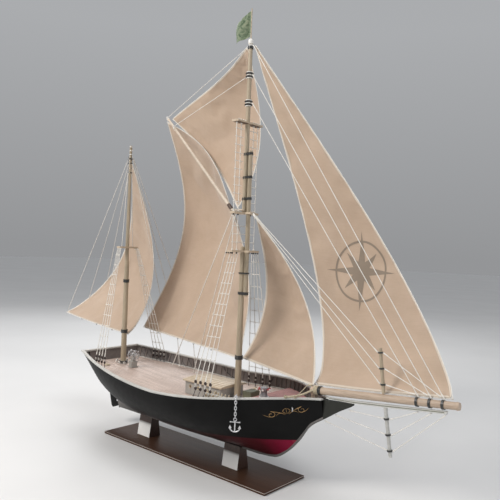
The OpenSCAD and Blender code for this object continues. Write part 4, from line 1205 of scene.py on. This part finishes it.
def build_bowsprit_details():
    lash = Batch("bowsprit_lashing", "lash", "cord")
    d = unit(SPRIT_TIP - SPRIT_HEEL)
    base = SPRIT_HEEL + d * 5
    up = np.cross(V(0, 1, 0), d)
    turns = [2 * math.pi * i / 24 for i in range(100)]
    lash.tube([base + d * (i * 0.068) + V(0, 5.75 * math.cos(a), 0) - up * 5.75 * math.sin(a)
               for i, a in enumerate(turns)], 0.8)
    for s in (-1, 1):
        a, b = base + V(0, s * 5.0, 1.0), V(202, s * 36.0, sheer(202) + 1.2)
        path = [mix(a, b, i / 80) - V(0, 0, 2.4 * math.sin(math.pi * i / 80)) for i in range(81)]
        for k in range(3):
            pts = []
            for i, (q, (_, n, bi)) in enumerate(zip(path, frames_along(path))):
                w = 2 * math.pi * (k / 3 + i / 10)
                pts.append(q + 0.75 * (math.cos(w) * n + math.sin(w) * bi))
            lash.tube(pts, 0.72, 6)
        c = V(212, s * 29.0, sheer(212) + 0.9)
        lash.tube([mix(V(213, s * 2.5, 147.6), c, i / 10) - V(0, 0, 0.8 * math.sin(math.pi * i / 10))
                   for i in range(11)], 0.5)
        for q, r in ((b, 2.2), (c, 1.6)):
            for k in range(3):
                lash.torus(q + V(0, 0, 0.5 * k), (0.3, s * 0.4, 1), r - 0.25 * k, 0.6, 18, 6)
    lash.tube([V(213, 0, 147.2), V(219, 0, 148.2)], 1.2, 10)
    lash.make(60)
    st = Batch("bowsprit_stripes", "olive", "hatch_olive")
    for y in (-2.12, 2.12):
        st.tube([(248, y, 136.6), (283, y, 138.4), (327, y, 142.6), (402, y, 150.5)], 0.45, 6)
    st.make(50)
    cap = Batch("bowsprit_caps", "black", "band_black")
    for t in (0.76, 0.84, 0.92):
        for y in (-5.6, 5.6):
            cap.bead(sprit(t, 0) + V(0, y, 0), 0.9)
    for k in (-1.2, 1.2):
        cap.torus(SPRIT_HEEL + d * (13.85 + k), d, 5.9, 0.4, 40, 6)
    cap.make(50)


build_spars()
build_mast_details()
build_bowsprit_details()


# ---------------- deck fittings

def build_deckhouse():
    walls = Batch("deckhouse_battens", "house", "house_grey")
    x0, x1, w, top = -2.0, 74.0, 25.0, 120.0
    battens = [(mix(x0 + 1.2, x1 - 1.2, i / 8), s * w, 0.8, 0.35) for s in (-1, 1) for i in range(9)]
    battens += [(x, mix(-w + 1.2, w - 1.2, i / 5), 0.35, 0.8) for x in (x0, x1) for i in range(6)]
    for x, y, dx, dy in battens:
        walls.box((x - dx, y - dy, deck_z(x) + 0.4), (x + dx, y + dy, top - 0.1), 0.15)
    for s in (-1, 1):
        walls.box((x0, s * w - 0.45, top - 1.8), (x1, s * w + 0.45, top - 0.1), 0.2)
    walls.make(30)
    ports = Batch("deckhouse_port_rings", "brass", "silver_metal")
    glass = Batch("deckhouse_port_panes", "hole", "band_black")
    for s in (-1, 1):
        for i in range(4):
            c = (mix(x0 + 10.7, x1 - 10.7, i / 3), s * w, 112.6)
            ports.torus(c, (0, 1, 0), 2.3, 0.5)
            glass.lathe([(2.2, -0.2), (2.2, 0.25)], c, (0, s, 0))
    ports.make(50)
    glass.make(30)
    roof = Batch("deckhouse_roof_trim", "roof", "roof_tan")
    for s in (-1, 1):
        roof.box((x0 - 3.2, s * 27.9 - 0.7, 120.0), (x1 + 3.2, s * 27.9 + 0.7, 122.1), 0.4)
    for i in range(9):
        x = mix(x0 + 2, x1 - 2, i / 8)
        roof.tube([(x, y, math.sqrt(190 ** 2 - y * y) - 65.35) for y in np.linspace(-26, 26, 14)], 0.5, 6)
    roof.make(30)
    hatch = Batch("hatch_slats", "olive", "hatch_olive")
    for i in range(5):
        hatch.box((92.5 + 3.1 * i, 3.4, 116.0), (94.9 + 3.1 * i, 24.6, 116.9), 0.25)
    for y in (3.6, 24.4):
        hatch.box((91.6, y - 0.3, 113.6), (108.4, y + 0.3, 115.2), 0.2)
    hatch.make(30)


def build_wheel():
    spokes = Batch("wheel_handles", "silver", "silver_metal", body="steering")
    rims = Batch("wheel_hub_caps", "silver", "silver_metal", body="steering")
    for side in (-1, 1):
        x, z = -166 + 5.5 * side, 133
        for d in circle(V(0, 0, 0), V(0, 0, 1), V(0, -1, 0), 1, 8):
            spokes.lathe([(0.5, 7.6), (0.75, 8.2), (0.6, 8.9), (0.3, 9.45)], (x, 0, z), d, 12)
            spokes.lathe([(0.5, 2.2), (0.7, 2.9), (0.55, 3.6), (0.65, 4.6), (0.52, 6.0)], (x, 0, z), d, 12)
        for dx, r in ((-side * 0.85, 0.3), (side * 0.85, 0.35)):
            rims.torus((x + dx, 0, z), (1, 0, 0), 7.3, r, 40, 6)
        rims.lathe([(2.2, 1.3), (1.9, 1.9), (0.9, 2.3), (0.3, 2.4)], (x, 0, z), (side, 0, 0))
    spokes.make(50)
    rims.make(50)
    p = Batch("pedestal_trim", "house", "house_grey")
    z = deck_z(-166) + 0.6
    p.box((-171.2, -7.2, z - 0.5), (-160.8, 7.2, z + 1.4), 0.4)
    p.box((-170.6, -6.6, z + 9.0), (-161.4, 6.6, z + 10.4), 0.4)
    p.make(30)


def build_capstan():
    whelps = Batch("capstan_whelps", "drum", "drum_grey", body="capstan")
    tips = Batch("capstan_bar_tips", "white", "rail_white", body="capstan")
    z0 = deck_z(136) + 6 + 2.2
    for k in range(6):
        a = math.pi * k / 3
        b = a + math.pi / 6
        whelps.tube([(136 + r * math.cos(b), r * math.sin(b), z0 + z)
                     for r, z in ((5.3, 1.6), (4.3, 3.4), (3.9, 6.0), (4.4, 8.6), (5.2, 9.6))], 0.6)
        tips.bead((136 + 11 * math.cos(a), 11 * math.sin(a), z0 + 10.9), 1.35)
    whelps.make(40)
    tips.make(60)


def build_deck_details():
    rings = Batch("mizzen_ring_blocks", "white", "rail_white")
    # black discs in the rings' openings: painted shade where one would see through
    holes = Batch("mizzen_ring_holes", "hole", "band_black")
    for a in (math.pi * k / 4 + 0.3 for k in range(8)):
        out = V(math.cos(a), math.sin(a), 0)
        c = V(MIZZEN_X, 0, 0) + out * 12.5
        c[2] = deck_z(c[0]) + 3.4
        rings.torus(c, out, 1.6, 0.75, 20)
        holes.lathe([(1.0, -0.3), (1.0, 0.3)], c, out, 14)
    for x in range(-150, 60, 30):
        for s in (-1, 1):
            y = half(x, deck_z(x)) - SKIN - 6
            rings.torus((x, s * y, deck_z(x) + 1.4), (1, 0, 0), 1.2, 0.4, 16, 6)
    rings.make(50)
    holes.make(50)
    coils = Batch("rope_coils", "lash", "cord")
    for x, y, r0 in ((-60, 84, 6), (-20, -88, 6), (-110, -74, 5.5), (60, 74, 5.5), (-196, -34, 5)):
        pts = []
        for i in range(150):
            a, r = 2 * math.pi * i / 26, r0 * (1 - 0.55 * i / 150)
            pts.append((x + r * math.cos(a), y + r * math.sin(a), deck_z(x) + 0.9 + i / 150))
        coils.tube(pts, 0.55, 6)
    pins = Batch("belaying_pins", "cream", "spar_tan")
    for x in range(66, 115, 7):
        # three turns of rope hung on each pin
        for k in range(3):
            wide, y, z = 1.1 * (1 + 0.15 * k), -46.6 - 0.5 * k, 112.5 - 0.3 * k
            coils.tube([(x + wide * math.sin(a), y, z + 3.4 * math.cos(a))
                        for a in np.linspace(0, 2 * math.pi, 18)], 0.4, 6)
        pins.lathe([(0.5, -3.6), (0.75, -2.8), (0.8, 0), (1.25, 0.1), (1.25, 0.5), (0.7, 1.0), (1.0, 2.4),
                    (0.85, 3.8), (0.3, 4.5)], (x, -43.5, 116.1), sides=12)
    coils.make(60)
    pins.make(45)


def build_scroll():
    """A painted flourish on each bow: two mirrored volutes and a leaf between them."""
    b = Batch("bow_flourish", "gold", "roof_tan")

    def stroke(pts, side, w0=0.25, w1=0.75):
        """A flattened bead of paint that is thickest half way along."""
        path = []
        for s, t in pts:
            x = 200 + 24 * s
            z = min(113.5 + 6.5 * s + t, sheer(x) - SKIN - 1)
            path.append(V(x, side * (half(x, z) + 0.25), z))
        rows = []
        for i, (p, (_, n, bi)) in enumerate(zip(path, frames_along(path))):
            r = 0.7 * mix(w0, w1, math.sin(math.pi * i / (len(pts) - 1)))
            rows.append([p + o * V(1, 0.45, 1) for o in circle(V(0, 0, 0), n, bi, r, 6)])
        b.skin(rows, True)

    steps = [i / 12 for i in range(13)]
    for side in (-1, 1):
        for m in (-1, 1):
            curl = []
            for t in (i / 16 for i in range(16)):
                rise = mix(-2.2, 4.6, t ** 1.5) + 1.6 * math.sin(math.pi * t)
                curl.append((m * mix(0.05, 0.66, t), -0.4 + rise))
            for t in (i / 33 for i in range(34)):
                a, r = math.pi * (0.5 + 2.4 * t), 4.6 * (1 - 0.78 * t)
                curl.append((m * (0.66 + r * math.cos(a) / 25), -0.4 + r * math.sin(a)))
            stroke(curl, side)
            for leaf in ([(m * mix(0.1, 0.5, t), 3.4 * math.sin(math.pi * t) - 3.6) for t in steps],
                         [(m * mix(0.62, 1.0, t), -3.6 + 5 * t ** 2) for t in steps]):
                stroke(leaf, side, 0.15, 0.5)
        for a in (-0.5, 0, 0.5):
            stroke([(a * 0.32 * math.sin(math.pi * t), -2 + 7.5 * t) for t in steps], side, 0.12, 0.65)
    b.make(60)


def build_stern_details():
    """The pale outline of a panel across the stern."""
    g = Batch("stern_panel_line", "rail", "rail_white")
    z0, z1 = 122.0, 131.0
    for z in (z0, z1):
        g.tube([(transom_x(z) - 0.25, y, z) for y in np.linspace(-40, 40, 9)], 0.45, 6)
    for y in (-40, 40):
        g.tube([(transom_x(z) - 0.25, y, z) for z in np.linspace(z0, z1, 4)], 0.45, 6)
    g.make(50)


build_deckhouse()
build_wheel()
build_capstan()
build_deck_details()
build_scroll()
build_stern_details()

# the CAD nodes that stay visible, under the material each one gets
FINISH = dict(
    cradle="cradle_aft cradle_fore",
    beak="beak_knee",
    keel="sternpost",
    silver="hawse_rings rudder_gudgeons steering_wheels chain_eyebolt anchor_chain anchor capstan_spindle",
    foredeck="foredeck",
    transom="transom",
    dark="rudder",
    rail="taffrail pin_rail under_spar dolphin_striker",
    house="deckhouse wheel_pedestal",
    roof="deckhouse_roof",
    olive="companion_hatch",
    drum="capstan",
    bar="capstan_bars",
    spar_z="main_lower_mast main_topmast main_topgallant_mast flagstaff mizzen_lower_mast mizzen_topmast "
           "sprit_strut",
    tops="main_tops mizzen_top",
    black="main_bands mizzen_bands spar_bands",
    spar_x="bowsprit",
)
for finish, names in FINISH.items():
    for name in names.split():
        ob = NODES[name]
        if not ob.data.materials:
            ob.data.materials.append(M[finish])
        for s in ob.material_slots:
            s.material = M[finish]


bpy.context.scene.frame_set(1)
